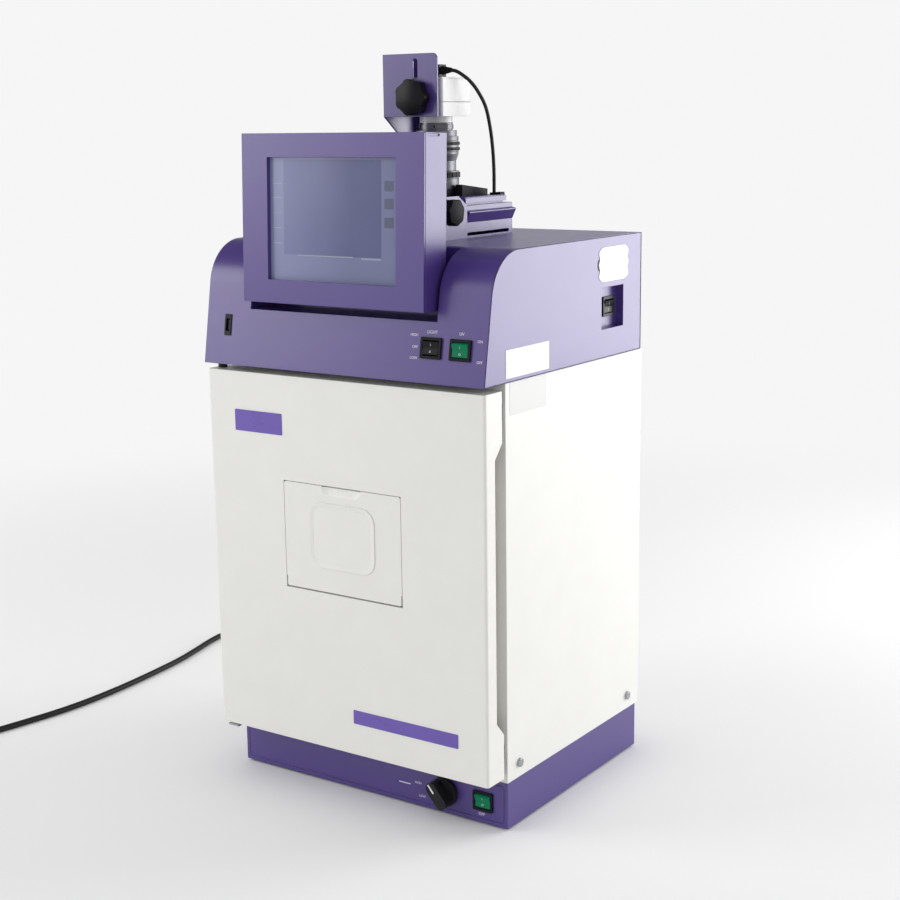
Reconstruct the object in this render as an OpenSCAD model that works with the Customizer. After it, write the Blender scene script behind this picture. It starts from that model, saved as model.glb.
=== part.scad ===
// Gel documentation system: a benchtop UV transilluminator under a light-tight
// cabinet, with a camera, a zoom lens and a tilting touch screen on its control housing.
// Millimetres, +Z up, front towards -Y, origin under the middle of the instrument.

/* [Base] */
// Width of the transilluminator
base_w = 350; // [320:1:380]
// Depth of the transilluminator
base_d = 273; // [268:1:300]
// Height of the transilluminator's top above the bench
base_h = 52; // [50:1:60]
// Sheet thickness of the transilluminator's case
case_t = 2; // [1.5:0.1:2.5]
// Height of the rubber feet
foot_h = 2.5; // [2:0.1:5]
// Side of the square window for the ultraviolet filter
window = 200; // [180:1:205]
// Ultraviolet tubes side by side
tubes = 6; // [4:1:6]
// Diameter of an ultraviolet tube
tube_dia = 15.5; // [14:0.1:16]

/* [Cabinet] */
// How far the cabinet's back stands past the base
cab_over = 7; // [4:0.5:12]
// Height of the cabinet
cab_h = 410.5; // [380:0.5:440]
// Sheet thickness of the cabinet
cab_t = 1.5; // [1.2:0.1:2]
// Width of the cabinet's front frame beside the door opening
jamb_w = 29; // [27:0.5:38]
// Width of the foam seal
seal_w = 8; // [5:0.5:9]

/* [Door] */
// How far the door's hinge side stands past the base
door_over = 2; // [1:0.1:3]
// Clear space between the base's top and the door's lower edge
door_low = 7.5; // [6:0.1:10]
// Clear space between the door's upper edge and the housing
door_high = 7; // [6:0.1:10]
// Depth of the door over its flanges
door_t = 29.7; // [27:0.1:32]
// Clear space between the door and the cabinet
door_gap = 6.3; // [6:0.1:8]
// Sheet thickness of the door
door_sheet = 1.5; // [1.2:0.1:1.8]
// Length of the finger recess in the door's edge
finger_l = 298; // [120:1:320]
// Depth of the finger recess
finger_d = 13; // [10:0.5:15]

/* [Window flap] */
// Height of the flap's lower edge above the door's
flap_up = 172; // [160:1:190]
// Width of the flap over the viewing window
flap_w = 150; // [130:1:160]
// Height of the flap
flap_h = 113; // [100:1:120]
// Thickness of the flap
flap_t = 3; // [2.5:0.1:3.2]
// Gap beside and above the flap
flap_gap = 0.6; // [0.4:0.1:1]
// Gap below the flap, where its lower edge swings in
flap_low = 1.6; // [1.4:0.1:3]

/* [Housing] */
// How far the housing stands past the base on each side
housing_over = 2; // [1:0.1:6]
// Height of the control housing
housing_h = 127.5; // [120:0.5:140]
// How far the housing's lower front edge stands out before the base
overhang = 40.3; // [38:0.1:42]
// Lean of the housing's front face from upright
front_lean = 9.2; // [7:0.1:11]
// Radius of the curve from the front face to the top
brow_r = 50; // [40:1:55]
// Sheet thickness of the housing
skin_t = 2; // [1.6:0.1:2.4]

/* [Screen] */
// Width of the monitor
screen_w = 226; // [220:1:230]
// Height of the monitor
screen_h = 169; // [160:1:172]
// Depth of the monitor
screen_d = 37.2; // [34:0.1:40]
// Width of the opening in the bezel
view_w = 160; // [150:1:168]
// Height of the opening in the bezel
view_h = 122; // [112:1:126]
// Lean of the monitor at rest
screen_lean = 2; // [0:0.5:4]

/* [Camera] */
// Diameter of the lens over its ribs
lens_dia = 50; // [46:0.5:50]
// Width of the camera
camera_w = 50; // [46:1:52]
// Depth of the camera
camera_d = 56; // [50:1:58]
// Height of the camera
camera_h = 40; // [36:1:44]
// Width of the camera bracket's front plate
plate_w = 69; // [64:1:74]
// Height of the camera bracket's front plate
plate_h = 64; // [58:1:68]
// Diameter of the camera's clamp knob
clamp_dia = 38; // [32:1:40]
// Lobes on a clamp knob
lobes = 7; // [5:1:9]

/* [Switches] */
// Width of a rocker switch's bezel
bezel_w = 24; // [22:0.5:25]
// Height of a rocker switch's bezel
bezel_h = 21; // [20:0.5:22]
// Diameter of the intensity knob's skirt
dial_dia = 32; // [26:1:36]
// Distance of the right-hand switches from the instrument's side
switch_in = 29.7; // [28:0.1:34]

/* [Hidden] */
$fn = 48;
eps = 0.01;        // overcut of a cutting solid
fit = 0.3;         // clear space beside a moving or loose-fitting piece
run = 0.08;        // radial clearance of a shaft in its hole

// Colours
violet = [0.33, 0.27, 0.52];
cream = [0.87, 0.86, 0.82];
black = [0.08, 0.08, 0.09];
steel = [0.72, 0.73, 0.75];
white = [0.93, 0.93, 0.92];
green = [0.05, 0.45, 0.28];

// Stacking heights
deck_z = base_h - case_t;
cab_z = base_h;
housing_z = cab_z + cab_h;
top_z = housing_z + housing_h;
door_z = base_h + door_low;
door_h = cab_h - door_low - door_high;
door_top = door_z + door_h;

// Widths and depths that follow the base
cab_d = base_d + cab_over;
housing_w = base_w + 2 * housing_over;
opening_w = base_w - 2 * jamb_w;
door_w = base_w + door_over;
screw_in = 22.6;                   // the side screws' distance from the front
screw_back = 26.4;                 // and from the cabinet's back
screw_up = 15.4;                   // and their height above the base

// The door's planes, seen from above
door_back = -door_gap;
door_front = door_back - door_t;
door_right = base_w / 2;
door_left = door_right - door_w;
hinge_x = door_left + 8;
hinge_y = door_front + 15;

// The door's liner, a shallow tray that closes the door's back
liner_t = 1.2;
liner_back = door_back - 1.2;
liner_in = [20, 17, 8];            // from the door's hinge side, its free side, its ends
liner_x0 = door_left + liner_in[0];
liner_x1 = door_right - liner_in[1];
liner_z0 = door_z + liner_in[2];
liner_z1 = door_top - liner_in[2];

// The flap and its hinge
flap_x = -1.5;
flap_z = door_z + flap_up;
flap_top = flap_z + flap_h;
flap_axis_y = door_front + 3.5;
flap_axis_z = flap_z + 7.3;
barrel_r = 3.2;
flap_pin_r = 1.5;
flap_sweep = 8.8;

// The housing's outline
housing_back = base_d + 1;
lens_y = 142;
camera_front = lens_y - camera_w / 2;

// The lens, from the pedestal's cap up
pedestal_w = 114;
pedestal_y0 = 111.5;
pedestal_y1 = 202;
cap_z = top_z + 33.5;
cap_top = cap_z + 8.5;
lens_r = lens_dia / 2;
core_r = lens_r - 5;
lens_bottom = cap_top - 6;
ring_z = lens_bottom + 74.5;      // underside of the mount ring
flange_z = ring_z + 8;
camera_z = flange_z + 6.5;
camera_top = camera_z + camera_h;
clamp_z = camera_z + 19.5;

// The camera bracket
plate_y = 105;
plate_t = 2;
plate_x = -41.5;

// The monitor's tilt axis
tilt_y = 72;
tilt_z = top_z + 29;
tilt_r = 4;
screen_y = -43.2;
screen_z = tilt_z - 91.5;
cheek_x = 58.5;
cheek_t = 2;
recess_w = screen_w + 10;
recess_z = screen_z - 6;
recess_back = 12;

// Switch places
dial_z = base_h / 2;
base_rocker_x = base_w / 2 - switch_in;
dial_x = base_rocker_x - 47.4;
uv_x = housing_w / 2 - switch_in;
white_x = uv_x - bezel_w - 10;
front_rocker_s = recess_z - housing_z - 24.6;  // along the sloped face, from its lower edge
usb_x = -housing_w / 2 + switch_in;
usb_s = recess_z - housing_z - 17.4;
pocket_y0 = 186;
pocket_y1 = 233.5;
pocket_z0 = housing_z + 30.5;
pocket_z1 = housing_z + 74.5;
pocket_d = 9;
inlet_x = -105;
inlet_z = housing_z + 38;
base_inlet_z = base_h / 2 + 1;

// The mains cord: hand-chosen points from its connector, down to the bench and round
cord_d = 7;
cord_path = [
  [-105, 337, 500.5], [-105, 347, 500.2], [-105, 362, 496.5], [-105.5, 375, 485], [-106.5, 382, 466],
  [-107.5, 385.5, 440], [-108, 386.5, 380], [-109, 387, 280], [-110, 388, 180], [-113, 389, 100],
  [-118, 391, 55], [-130, 395, 24], [-155, 400, 8], [-190, 404, 3.6], [-250, 409, 3.6],
  [-320, 412, 3.6], [-390, 410, 3.6], [-440, 402, 3.6], [-475, 385, 3.6], [-495, 358, 3.6],
  [-502, 325, 3.6], [-498, 290, 3.6], [-488, 250, 3.6], [-478, 205, 3.6], [-471, 150, 3.6],
  [-466, 90, 3.6], [-465, 35, 3.6], [-468, -12, 3.6], [-475, -56, 3.6], [-483, -96, 3.6],
  [-489, -128, 3.6], [-491, -160, 3.6]
];
coil_x = -527.5;
coil_y = -160;
coil_r = 36.5;                     // centre line of the turns
coil_layers = 2;                   // one on the other

// The camera's cable: hand-chosen points from the camera's plug to the pedestal
cable_d = 3.8;
stud_r = 2.8;                      // the camera clamp's stud
cable_path = [
  [20, 143, 762.4], [24.8, 144.4, 761.2], [29.2, 146.8, 758.4], [35.4, 153.5, 751.4],
  [40.2, 161.5, 740.8], [43.7, 171.5, 724.1], [45.2, 178, 701.3], [45.6, 182, 678.4],
  [45.5, 184, 656.6], [45.2, 184.5, 634]
];

// ---------------------------------------------------------------- helpers

// A box given by its lowest and highest corners
module block(low, high) {
  translate(low) cube([high[0] - low[0], high[1] - low[1], high[2] - low[2]]);
}

// A flat rectangle with round corners, centred
module round_rect(w, h, r) {
  square([w - 2 * r, h], center = true);
  square([w, h - 2 * r], center = true);
  for (x = [-1, 1], y = [-1, 1])
    translate([x * (w / 2 - r), y * (h / 2 - r)]) circle(r);
}

// Extrudes an X-Z drawing from its plane y towards the back
module to_back(y, depth) {
  translate([0, y + depth, 0]) rotate([90, 0, 0]) linear_extrude(depth) children();
}

// Extrudes a Y-Z drawing from its plane x towards +X
module to_right(x, length) {
  translate([x, 0, 0]) rotate([90, 0, 90]) linear_extrude(length) children();
}

// A cylinder along X, from x0 to x1, at y and z
module rod_x(x0, x1, y, z, r) {
  translate([x0, y, z]) rotate([0, 90, 0]) cylinder(h = x1 - x0, r = r);
}

// A cylinder along Y, from y0 to y1, at x and z
module rod_y(y0, y1, x, z, r) {
  translate([x, y0, z]) rotate([-90, 0, 0]) cylinder(h = y1 - y0, r = r);
}

// Puts children on the housing's sloped front: x across, s up the slope, -Y outwards
module on_slope(x, s) {
  translate([x, -overhang, housing_z]) rotate([-front_lean, 0, 0]) translate([0, 0, s]) children();
}

// Turns children's front to the right-hand side, at a place on a side wall
module on_side(x, y, z) {
  translate([x, y, z]) rotate([0, 0, 90]) children();
}

// The outline of a clamp knob: a round core with lobes standing out of it
module lobed(r) {
  lobe = r * 0.3;
  circle(r * 0.9);
  for (i = [0 : lobes - 1]) rotate(i * 360 / lobes) translate([r - lobe, 0]) circle(lobe, $fn = 32);
}

// A tube swept along a smooth curve through hand-chosen points
function spline(p, i, t) =
  let (n = len(p) - 1, a = p[max(i - 1, 0)], b = p[i], c = p[i + 1], d = p[min(i + 2, n)])
  0.5 * ((2 * b) + (c - a) * t + (2 * a - 5 * b + 4 * c - d) * t * t
    + (3 * b - a - 3 * c + d) * t * t * t);
function route(p, step) = [
  for (i = [0 : len(p) - 2])
    let (k = max(1, round(norm(p[i + 1] - p[i]) / step)))
      for (j = [0 : k - 1]) spline(p, i, j / k),
  p[len(p) - 1]
];
function unit(v) = v / norm(v);
function heading(q, i) = unit(q[min(i + 1, len(q) - 1)] - q[max(i - 1, 0)]);
// A cross direction carried from ring to ring, so that the tube never twists
function carry(q, i, side) = i == 0 ? side :
  let (before = carry(q, i - 1, side), along = heading(q, i))
  unit(before - along * (before * along));
module tube(path, d, step, side, first, last, sides = 8) {
  inner = route(path, step);
  q = [for (i = [0 : len(inner) - 1]) inner[i]];
  ways = [for (i = [0 : len(q) - 1])
    i == 0 ? first : i == len(q) - 1 ? last : heading(q, i)];
  rings = [for (i = [0 : len(q) - 1])
    let (
      rough = carry(q, i, side),
      u = unit(rough - ways[i] * (rough * ways[i])),
      v = cross(ways[i], u)
    )
    for (k = [0 : sides - 1]) q[i] + (u * cos(k * 360 / sides) + v * sin(k * 360 / sides)) * d / 2];
  last_ring = len(q) - 1;
  polyhedron(
    points = rings,
    faces = concat(
      [[for (k = [0 : sides - 1]) k]],
      [for (i = [0 : last_ring - 1], k = [0 : sides - 1])
        let (a = i * sides + k, b = i * sides + (k + 1) % sides)
        [a, a + sides, b + sides, b]],
      [[for (k = [0 : sides - 1]) last_ring * sides + sides - 1 - k]]
    ),
    convexity = 10
  );
}

// ---------------------------------------------------------------- rocker switches

rocker_w = bezel_w - 6;
rocker_r = bezel_h / 2 - 3.2;
pivot_in = 1.5;                    // the pivot's depth behind the panel
rocker_tilt = 8;

// The bezel with its body behind the panel; the panel's face is the plane y = 0
module rocker_bezel() {
  difference() {
    union() {
      to_back(-2, 2) round_rect(bezel_w, bezel_h, 1.5);
      block([-bezel_w / 2 + 2, 0, -bezel_h / 2 + 2], [bezel_w / 2 - 2, 16, bezel_h / 2 - 2]);
    }
    block([-rocker_w / 2 - fit, -3, -rocker_r - fit],
      [rocker_w / 2 + fit, pivot_in + rocker_r + fit, rocker_r + fit]);
    rod_x(-rocker_w / 2 - 1.2, rocker_w / 2 + 1.2, pivot_in, 0, 1.2 + run);
  }
}

// The rocker: two faces that meet in a shallow valley, round ends about the pivot
module rocker(tilt) {
  translate([0, pivot_in, 0]) rotate([tilt, 0, 0]) {
    to_right(-rocker_w / 2, rocker_w) intersection() {
      circle(rocker_r);
      polygon([[4, -rocker_r], [-4.2, -rocker_r], [-2.9, 0], [-4.2, rocker_r], [4, rocker_r]]);
    }
    rod_x(-rocker_w / 2 - 0.9, rocker_w / 2 + 0.9, 0, 0, 1.2);
  }
}

// The hole that a switch body needs in a panel
module rocker_hole(y0, y1) {
  block([-bezel_w / 2 + 1.8, y0, -bezel_h / 2 + 1.8], [bezel_w / 2 - 1.8, y1, bezel_h / 2 - 1.8]);
}

// ---------------------------------------------------------------- transilluminator

panel_w = base_w - 9.4;
panel_h = base_h - foot_h - 9.5;
inner_lip = 10;                    // width of the case's inner edge round its top and floor
panel_z = (base_h + foot_h) / 2;

module transilluminator_case() {
  color(violet) difference() {
    block([-base_w / 2, 0, foot_h], [base_w / 2, base_d, base_h]);
    block([-base_w / 2 + case_t, case_t, foot_h + case_t],
      [base_w / 2 - case_t, base_d - case_t, deck_z - 2]);
    block([-base_w / 2 + inner_lip, inner_lip, foot_h + case_t],
      [base_w / 2 - inner_lip, base_d - inner_lip, base_h + 1]);
    block([-base_w / 2 + case_t, case_t, deck_z], [base_w / 2 - case_t, base_d - case_t, base_h + 1]);
    to_back(-1, 2) translate([0, panel_z]) round_rect(panel_w + 1, panel_h + 1, 4.5);
    rod_y(-1, 4, dial_x, dial_z, 5);
    translate([base_rocker_x, 0, dial_z]) rocker_hole(-1, 4);
    translate([inlet_x, base_d, base_inlet_z]) inlet_hole();
    for (i = [0 : 13])
      translate([20 + i * 9, 0, 0])
        to_back(base_d - case_t - 1, case_t + 2) translate([0, 27]) round_rect(4, 24, 1.9);
  }
}

module transilluminator_panel() {
  color(violet) difference() {
    to_back(0, 1) translate([0, panel_z]) round_rect(panel_w, panel_h, 4);
    rod_y(-1, 2, dial_x, dial_z, 3 + run);
    translate([base_rocker_x, 0, dial_z]) rocker_hole(-1, 2);
  }
}

stage_y = base_d / 2;

module transilluminator_deck() {
  color(violet) difference() {
    block([-base_w / 2 + case_t + fit, case_t + fit, deck_z],
      [base_w / 2 - case_t - fit, base_d - case_t - fit, base_h]);
    block([-window / 2, stage_y - window / 2, deck_z - 1],
      [window / 2, stage_y + window / 2, base_h + 1]);
  }
}

glass_w = window + 12;
glass_t = 3;

module filter_glass() {
  color([0.12, 0.08, 0.3]) translate([0, stage_y, base_h]) linear_extrude(glass_t)
    square(glass_w, center = true);
}

module filter_frame() {
  color(steel) translate([0, stage_y, base_h]) difference() {
    linear_extrude(glass_t + 1.5) round_rect(glass_w + 20, glass_w + 20, 4);
    translate([0, 0, -1]) linear_extrude(glass_t + 1) square(glass_w + 2 * fit, center = true);
    translate([0, 0, -1]) linear_extrude(glass_t + 4) square(window + 2, center = true);
  }
}

tube_l = 288;
tray_in = 34.5;                    // from the base's front and back to the lamp tray
tube_pitch = (base_d - 2 * tray_in) / tubes;
tube_z = base_h - 21;
socket_t = 8;

module uv_tubes() {
  for (i = [0 : tubes - 1]) translate([0, stage_y + (i - (tubes - 1) / 2) * tube_pitch, 0]) {
    color(white) rod_x(-tube_l / 2 + 6, tube_l / 2 - 6, 0, tube_z, tube_dia / 2);
    for (x = [-tube_l / 2, tube_l / 2 - 6]) color(steel) rod_x(x, x + 6, 0, tube_z, tube_dia / 2 - 0.4);
  }
}

module lamp_tray() {
  tray_w = tube_l + 2 * socket_t + 4;
  tray_y0 = tray_in;
  tray_y1 = base_d - tray_in;
  floor_z = foot_h + case_t;
  color(steel) difference() {
    block([-tray_w / 2, tray_y0, floor_z], [tray_w / 2, tray_y1, floor_z + 11]);
    block([-tray_w / 2 - 1, tray_y0 + 1.5, floor_z - 1], [tray_w / 2 + 1, tray_y1 - 1.5, floor_z + 9.5]);
  }
  for (i = [0 : tubes - 1], x = [-1, 1])
    color(white) translate([0, stage_y + (i - (tubes - 1) / 2) * tube_pitch, 0])
      block([x * (tube_l / 2 + socket_t / 2) - socket_t / 2, -9, floor_z + 11],
        [x * (tube_l / 2 + socket_t / 2) + socket_t / 2, 9, tube_z + 10]);
}

ballast_y = 24;                    // the ballasts' front, from the base's back

module base_electronics() {
  floor_z = foot_h + case_t;
  color(black) rod_y(case_t, case_t + 16, dial_x, dial_z, 9);
  color(steel) block([-base_w / 2 + 45, base_d - ballast_y, floor_z], [-40, base_d - 4, floor_z + 8]);
  color(steel) block([30, base_d - ballast_y, floor_z], [base_w / 2 - 25, base_d - 4, floor_z + 9]);
}

module base_feet() {
  for (x = [-1, 1], y = [24, base_d - 24])
    color(black) translate([x * (base_w / 2 - 24), y, 0]) difference() {
      cylinder(h = foot_h, r = 10);
      translate([0, 0, -1]) cylinder(h = 2, r = 3);
    }
}

module intensity_knob() {
  skirt = dial_dia / 2;
  color(black) {
    rod_y(-5.5, -fit, dial_x, dial_z, skirt);
    translate([dial_x, 0, dial_z]) rotate([0, 50, 0])
      to_back(-18, 13) round_rect(2 * skirt - 1, 13, 6);
    rod_y(-fit - eps, case_t - fit, dial_x, dial_z, 3);
  }
  color(white) translate([dial_x, 0, dial_z]) rotate([0, 50, 0])
    block([-skirt + 1.5, -18.4, -0.9], [-skirt + 12, -18, 0.9]);
}

module inlet_hole() {
  block([-14, -30, -10.5], [14, 6, 10.5]);
}

// An appliance inlet in a back wall whose outer face is the plane y = 0
module inlet() {
  difference() {
    union() {
      to_back(0, 2) round_rect(38, 28, 3);
      block([-13.7, -18, -10.2], [13.7, 0, 10.2]);
    }
    block([-12, -15, -8.5], [12, 3, 8.5]);
  }
  for (x = [-7, 0, 7])
    block([x - 1, -15 - eps, x == 0 ? -4.5 : -1], [x + 1, -2, x == 0 ? -0.5 : 3]);
}

module power_inlets() {
  color(black) translate([inlet_x, housing_back, inlet_z]) inlet();
  color(black) translate([inlet_x, base_d, base_inlet_z]) inlet();
}

// ---------------------------------------------------------------- cabinet

// The hole in the cabinet's floor, round the filter's frame
floor_hole_w = window + 122;
floor_hole_d = window + 45;

module cabinet_shell() {
  w = base_w / 2;
  color(cream) difference() {
    block([-w, 0, cab_z], [w, cab_d, housing_z]);
    block([-w + cab_t, -1, cab_z + cab_t], [w - cab_t, cab_d - cab_t, housing_z - cab_t]);
    block([-floor_hole_w / 2, stage_y - floor_hole_d / 2, cab_z - 1],
      [floor_hole_w / 2, stage_y + floor_hole_d / 2, cab_z + 3]);
    translate([0, lens_y, housing_z - 5]) cylinder(h = 8, r = 42);
    for (x = [-1, 1], y = [screw_in, cab_d - screw_back])
      rod_x(x * (w - 1) - 3, x * (w - 1) + 3, y, base_h + screw_up, 2 + run);
  }
}

seal_gap = 2;                      // from the door opening's edge to the seal
frame_z0 = liner_z0 + 0.5 + seal_w + seal_gap;
frame_z1 = liner_z1 - 0.5 - seal_w - seal_gap;

module cabinet_frame() {
  w = base_w / 2 - cab_t;
  color(cream) difference() {
    block([-w, 0, cab_z + cab_t], [w, cab_t, housing_z - cab_t]);
    block([-opening_w / 2, -1, frame_z0], [opening_w / 2, cab_t + 1, frame_z1]);
  }
}

module door_seal() {
  inner = opening_w / 2 + seal_gap;
  outer = inner + seal_w;
  color(black) difference() {
    block([-outer, liner_back + fit, frame_z0 - seal_gap - seal_w],
      [outer, 0, frame_z1 + seal_gap + seal_w]);
    block([-inner, liner_back - 1, frame_z0 - seal_gap], [inner, 1, frame_z1 + seal_gap]);
  }
}

module machine_screws() {
  w = base_w / 2;
  for (x = [-1, 1], y = [screw_in, cab_d - screw_back]) color(steel) translate([0, y, base_h + screw_up]) {
    rod_x(x > 0 ? w : -w - 2.4, x > 0 ? w + 2.4 : -w, 0, 0, 4.5);
    rod_x(x > 0 ? w - 7 : -w, x > 0 ? w : -w + 7, 0, 0, 2);
  }
  color(steel) {
    rod_x(-cheek_x - cheek_t - 4, -cheek_x - cheek_t, tilt_y, tilt_z, 7);
    rod_x(-cheek_x - cheek_t, -cheek_x + 4.5, tilt_y, tilt_z, tilt_r);
  }
}

module door_hinges() {
  color(steel) {
    block([hinge_x - 6, hinge_y - 8, base_h + 0.5], [hinge_x + 8, 0, base_h + 2.5]);
    block([hinge_x - 4, -2, base_h + 2.5 - eps], [hinge_x + 8, 0, base_h + 24]);
    translate([hinge_x, hinge_y, base_h + 2.5]) cylinder(h = door_z - fit - base_h - 2.5, r = 5);
    translate([hinge_x, hinge_y, base_h + 2.5]) cylinder(h = 15, r = 3.5);
  }
  color(black) {
    translate([hinge_x, hinge_y, door_top + fit]) cylinder(h = housing_z - door_top - fit, r = 5);
    translate([hinge_x, hinge_y, door_top - 12]) cylinder(h = housing_z - door_top + 12, r = 3.5);
  }
}

catch_z = [door_z + 18, door_top - 30];

module door_catches() {
  seal_edge = opening_w / 2 + seal_gap + seal_w;
  for (z = catch_z) color(black)
    block([seal_edge + 2, -door_gap + 0.5, z], [base_w / 2 - cab_t - 2, 0, z + 16]);
}

lamp_in = 53;                      // from the cabinet's side to the lamp's middle
lamp_w = 22;
lamp_deep = 30;                    // from the cabinet's front and back to the lamp's ends

module epi_lamps() {
  z = housing_z - cab_t - 9;
  for (side = [-1, 1]) {
    x = side * (base_w / 2 - lamp_in);
    color(white) block([x - lamp_w / 2, lamp_deep, z],
      [x + lamp_w / 2, cab_d - lamp_deep, housing_z - cab_t]);
    color(steel) rod_y(lamp_deep + 6, cab_d - lamp_deep - 6, x, z, 6);
  }
}

// ---------------------------------------------------------------- door

module door_outline(inset) {
  r = 3 - inset;
  x0 = door_left + inset;
  x1 = door_right - inset;
  translate([x0, door_front + inset + r]) square([x1 - x0, door_t - inset - r]);
  translate([x0 + r, door_front + inset]) square([x1 - x0 - 2 * r, door_t - inset]);
  for (x = [x0 + r, x1 - r]) translate([x, door_front + inset + r]) circle(r);
}

module flap_hole(y0, depth) {
  to_back(y0, depth) translate([flap_x - flap_w / 2 - flap_gap, flap_z - flap_low])
    square([flap_w + 2 * flap_gap, flap_h + flap_gap + flap_low]);
}

module door_panel() {
  finger_z = door_z + (door_h - finger_l) / 2 - 2;
  color(cream) difference() {
    translate([0, 0, door_z]) linear_extrude(door_h) door_outline(0);
    translate([0, 0, door_z + door_sheet]) linear_extrude(door_h - 2 * door_sheet)
      union() {
        door_outline(door_sheet);
        translate([door_left + door_sheet, door_back - 5])
          square([door_w - 2 * door_sheet, 10]);
      }
    flap_hole(door_front - 1, door_sheet + 2);
    for (z = [door_z - 1, door_top - door_sheet - 1])
      translate([hinge_x, hinge_y, z]) cylinder(h = door_sheet + 2, r = 5.5);
    to_right(door_right - 6, 10) polygon([
      [door_back + 1, finger_z], [door_back, finger_z],
      [door_back - finger_d, finger_z + 15], [door_back - finger_d, finger_z + finger_l - 15],
      [door_back, finger_z + finger_l], [door_back + 1, finger_z + finger_l]]);
  }
}

frame_deep = 15;                   // depth of the window frame's rim behind the door's skin
frame_rim = 12;                    // width of that rim round the flap
tunnel_end = liner_back - liner_t; // the frame's tunnel ends on the liner
pane_w = flap_w - 20;
pane_h = flap_h - 25;
pane_t = 3;
pane_z = flap_top - 4 - pane_h / 2;

module door_liner() {
  skin = door_front + door_sheet;
  strike_x = door_right - door_sheet;
  color(cream) difference() {
    block([liner_x0, skin, liner_z0], [liner_x1, liner_back, liner_z1]);
    block([liner_x0 + liner_t, skin - 1, liner_z0 + liner_t],
      [liner_x1 - liner_t, liner_back - liner_t, liner_z1 - liner_t]);
    translate([flap_x, 0, pane_z]) to_back(liner_back - 3, 6) round_rect(pane_w - 6, pane_h - 6, 5);
  }
  for (z = catch_z) color(steel)
    block([liner_x1, door_back - 1.5, z - 1], [strike_x, door_back, z + 17]);
}

module hinge_bushes() {
  for (z = [door_z, door_top - 6]) color(white) translate([hinge_x, hinge_y, z]) difference() {
    cylinder(h = 6, r = 5.5);
    translate([0, 0, -1]) cylinder(h = 8, r = 3.5 + run);
  }
}

module window_frame() {
  skin = door_front + door_sheet;
  w = flap_w + 2 * frame_rim;
  color(cream) difference() {
    union() {
      block([flap_x - w / 2, skin, flap_z - frame_rim],
        [flap_x + w / 2, skin + frame_deep, flap_top + frame_rim]);
      translate([flap_x, 0, pane_z]) to_back(skin + frame_deep - eps, tunnel_end - skin - frame_deep + eps)
        square([pane_w + 8, pane_h + 8], center = true);
    }
    flap_hole(skin - 1, 5.5);
    block([flap_x - flap_w / 2 - flap_gap, skin - 1, flap_axis_z - flap_sweep],
      [flap_x + flap_w / 2 + flap_gap, flap_axis_y + flap_sweep, flap_axis_z + flap_sweep]);
    translate([flap_x, 0, pane_z]) to_back(skin - 1, door_t) round_rect(pane_w - 10, pane_h - 10, 4);
    translate([flap_x, 0, pane_z]) to_back(tunnel_end - pane_t, pane_t + 1)
      square([pane_w + 2 * fit, pane_h + 2 * fit], center = true);
    rod_x(flap_x - flap_w / 2 - 6, flap_x + flap_w / 2 + 6, flap_axis_y, flap_axis_z, flap_pin_r + run);
  }
}

module window_pane() {
  color([0.85, 0.6, 0.2, 0.5]) translate([flap_x, 0, pane_z])
    to_back(tunnel_end - pane_t, pane_t) square([pane_w, pane_h], center = true);
}

module flap_pin() {
  color(steel) rod_x(flap_x - flap_w / 2 - 6, flap_x + flap_w / 2 + 6, flap_axis_y, flap_axis_z, flap_pin_r);
}

module window_flap() {
  scoop_w = 31;                     // between the round ends of the finger scoop
  scoop_r = 24;
  scoop_deep = 2.2;
  scoop_y = door_front - scoop_r + scoop_deep;
  grip_w = 50;
  rib_end = 14;
  color(cream) difference() {
    union() {
      translate([flap_x, 0, flap_z + flap_h / 2]) to_back(door_front, flap_t)
        round_rect(flap_w, flap_h, 3);
      rod_x(flap_x - flap_w / 2, flap_x + flap_w / 2, flap_axis_y, flap_axis_z, barrel_r);
      // stiffening ribs behind the plate
      for (x = [-1, 1])
        block([flap_x + x * (flap_w / 2 - 8) - 1, door_front + flap_t - eps, flap_axis_z],
          [flap_x + x * (flap_w / 2 - 8) + 1, door_front + flap_t + 1.8, flap_top - rib_end]);
    }
    rod_x(flap_x - flap_w, flap_x + flap_w, flap_axis_y, flap_axis_z, flap_pin_r + run);
    rod_x(flap_x - scoop_w / 2, flap_x + scoop_w / 2, scoop_y, flap_top, scoop_r);
    for (x = [-1, 1]) translate([flap_x + x * scoop_w / 2, scoop_y, flap_top])
      sphere(scoop_r, $fn = 96);
    // the upper edge is lower at the grip
    block([flap_x - grip_w / 2, door_front - 1, flap_top - 0.9],
      [flap_x + grip_w / 2, door_front + flap_t + 1, flap_top + 1]);
    // notches beside the hinge knuckles
    for (x = [-1, 1])
      block([flap_x + x * flap_w / 2 - 1.2, door_front - 1, flap_z - 1],
        [flap_x + x * flap_w / 2 + 1.2, door_front + 8, flap_axis_z + 3.6]);
  }
}

// ---------------------------------------------------------------- control housing

// The side outline, in Y and Z; every corner moves inwards by the inset
module housing_outline(inset) {
  r = brow_r - inset;
  lean_y = sin(front_lean);
  lean_z = cos(front_lean);
  foot_y = -overhang + inset / lean_z;
  // centre of the brow's curve: a radius from the sloped face and a radius below the top
  c_z = top_z - brow_r;
  c_y = -overhang + (brow_r + (c_z - housing_z) * lean_y) / lean_z;
  back = housing_back - inset;
  back_r = 4 - inset;
  polygon([
    [foot_y, housing_z], [c_y - r * lean_z, c_z + r * lean_y], [c_y, c_z], [c_y, top_z - inset],
    [back - back_r, top_z - inset], [back - back_r, top_z - inset - back_r],
    [back, top_z - inset - back_r], [back, housing_z]
  ]);
  translate([c_y, c_z]) circle(r, $fn = 96);
  translate([back - back_r, top_z - inset - back_r]) circle(back_r);
}

module recess(w, z, back) {
  block([-w / 2, -overhang - 20, z], [w / 2, back, top_z + 10]);
}

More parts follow.
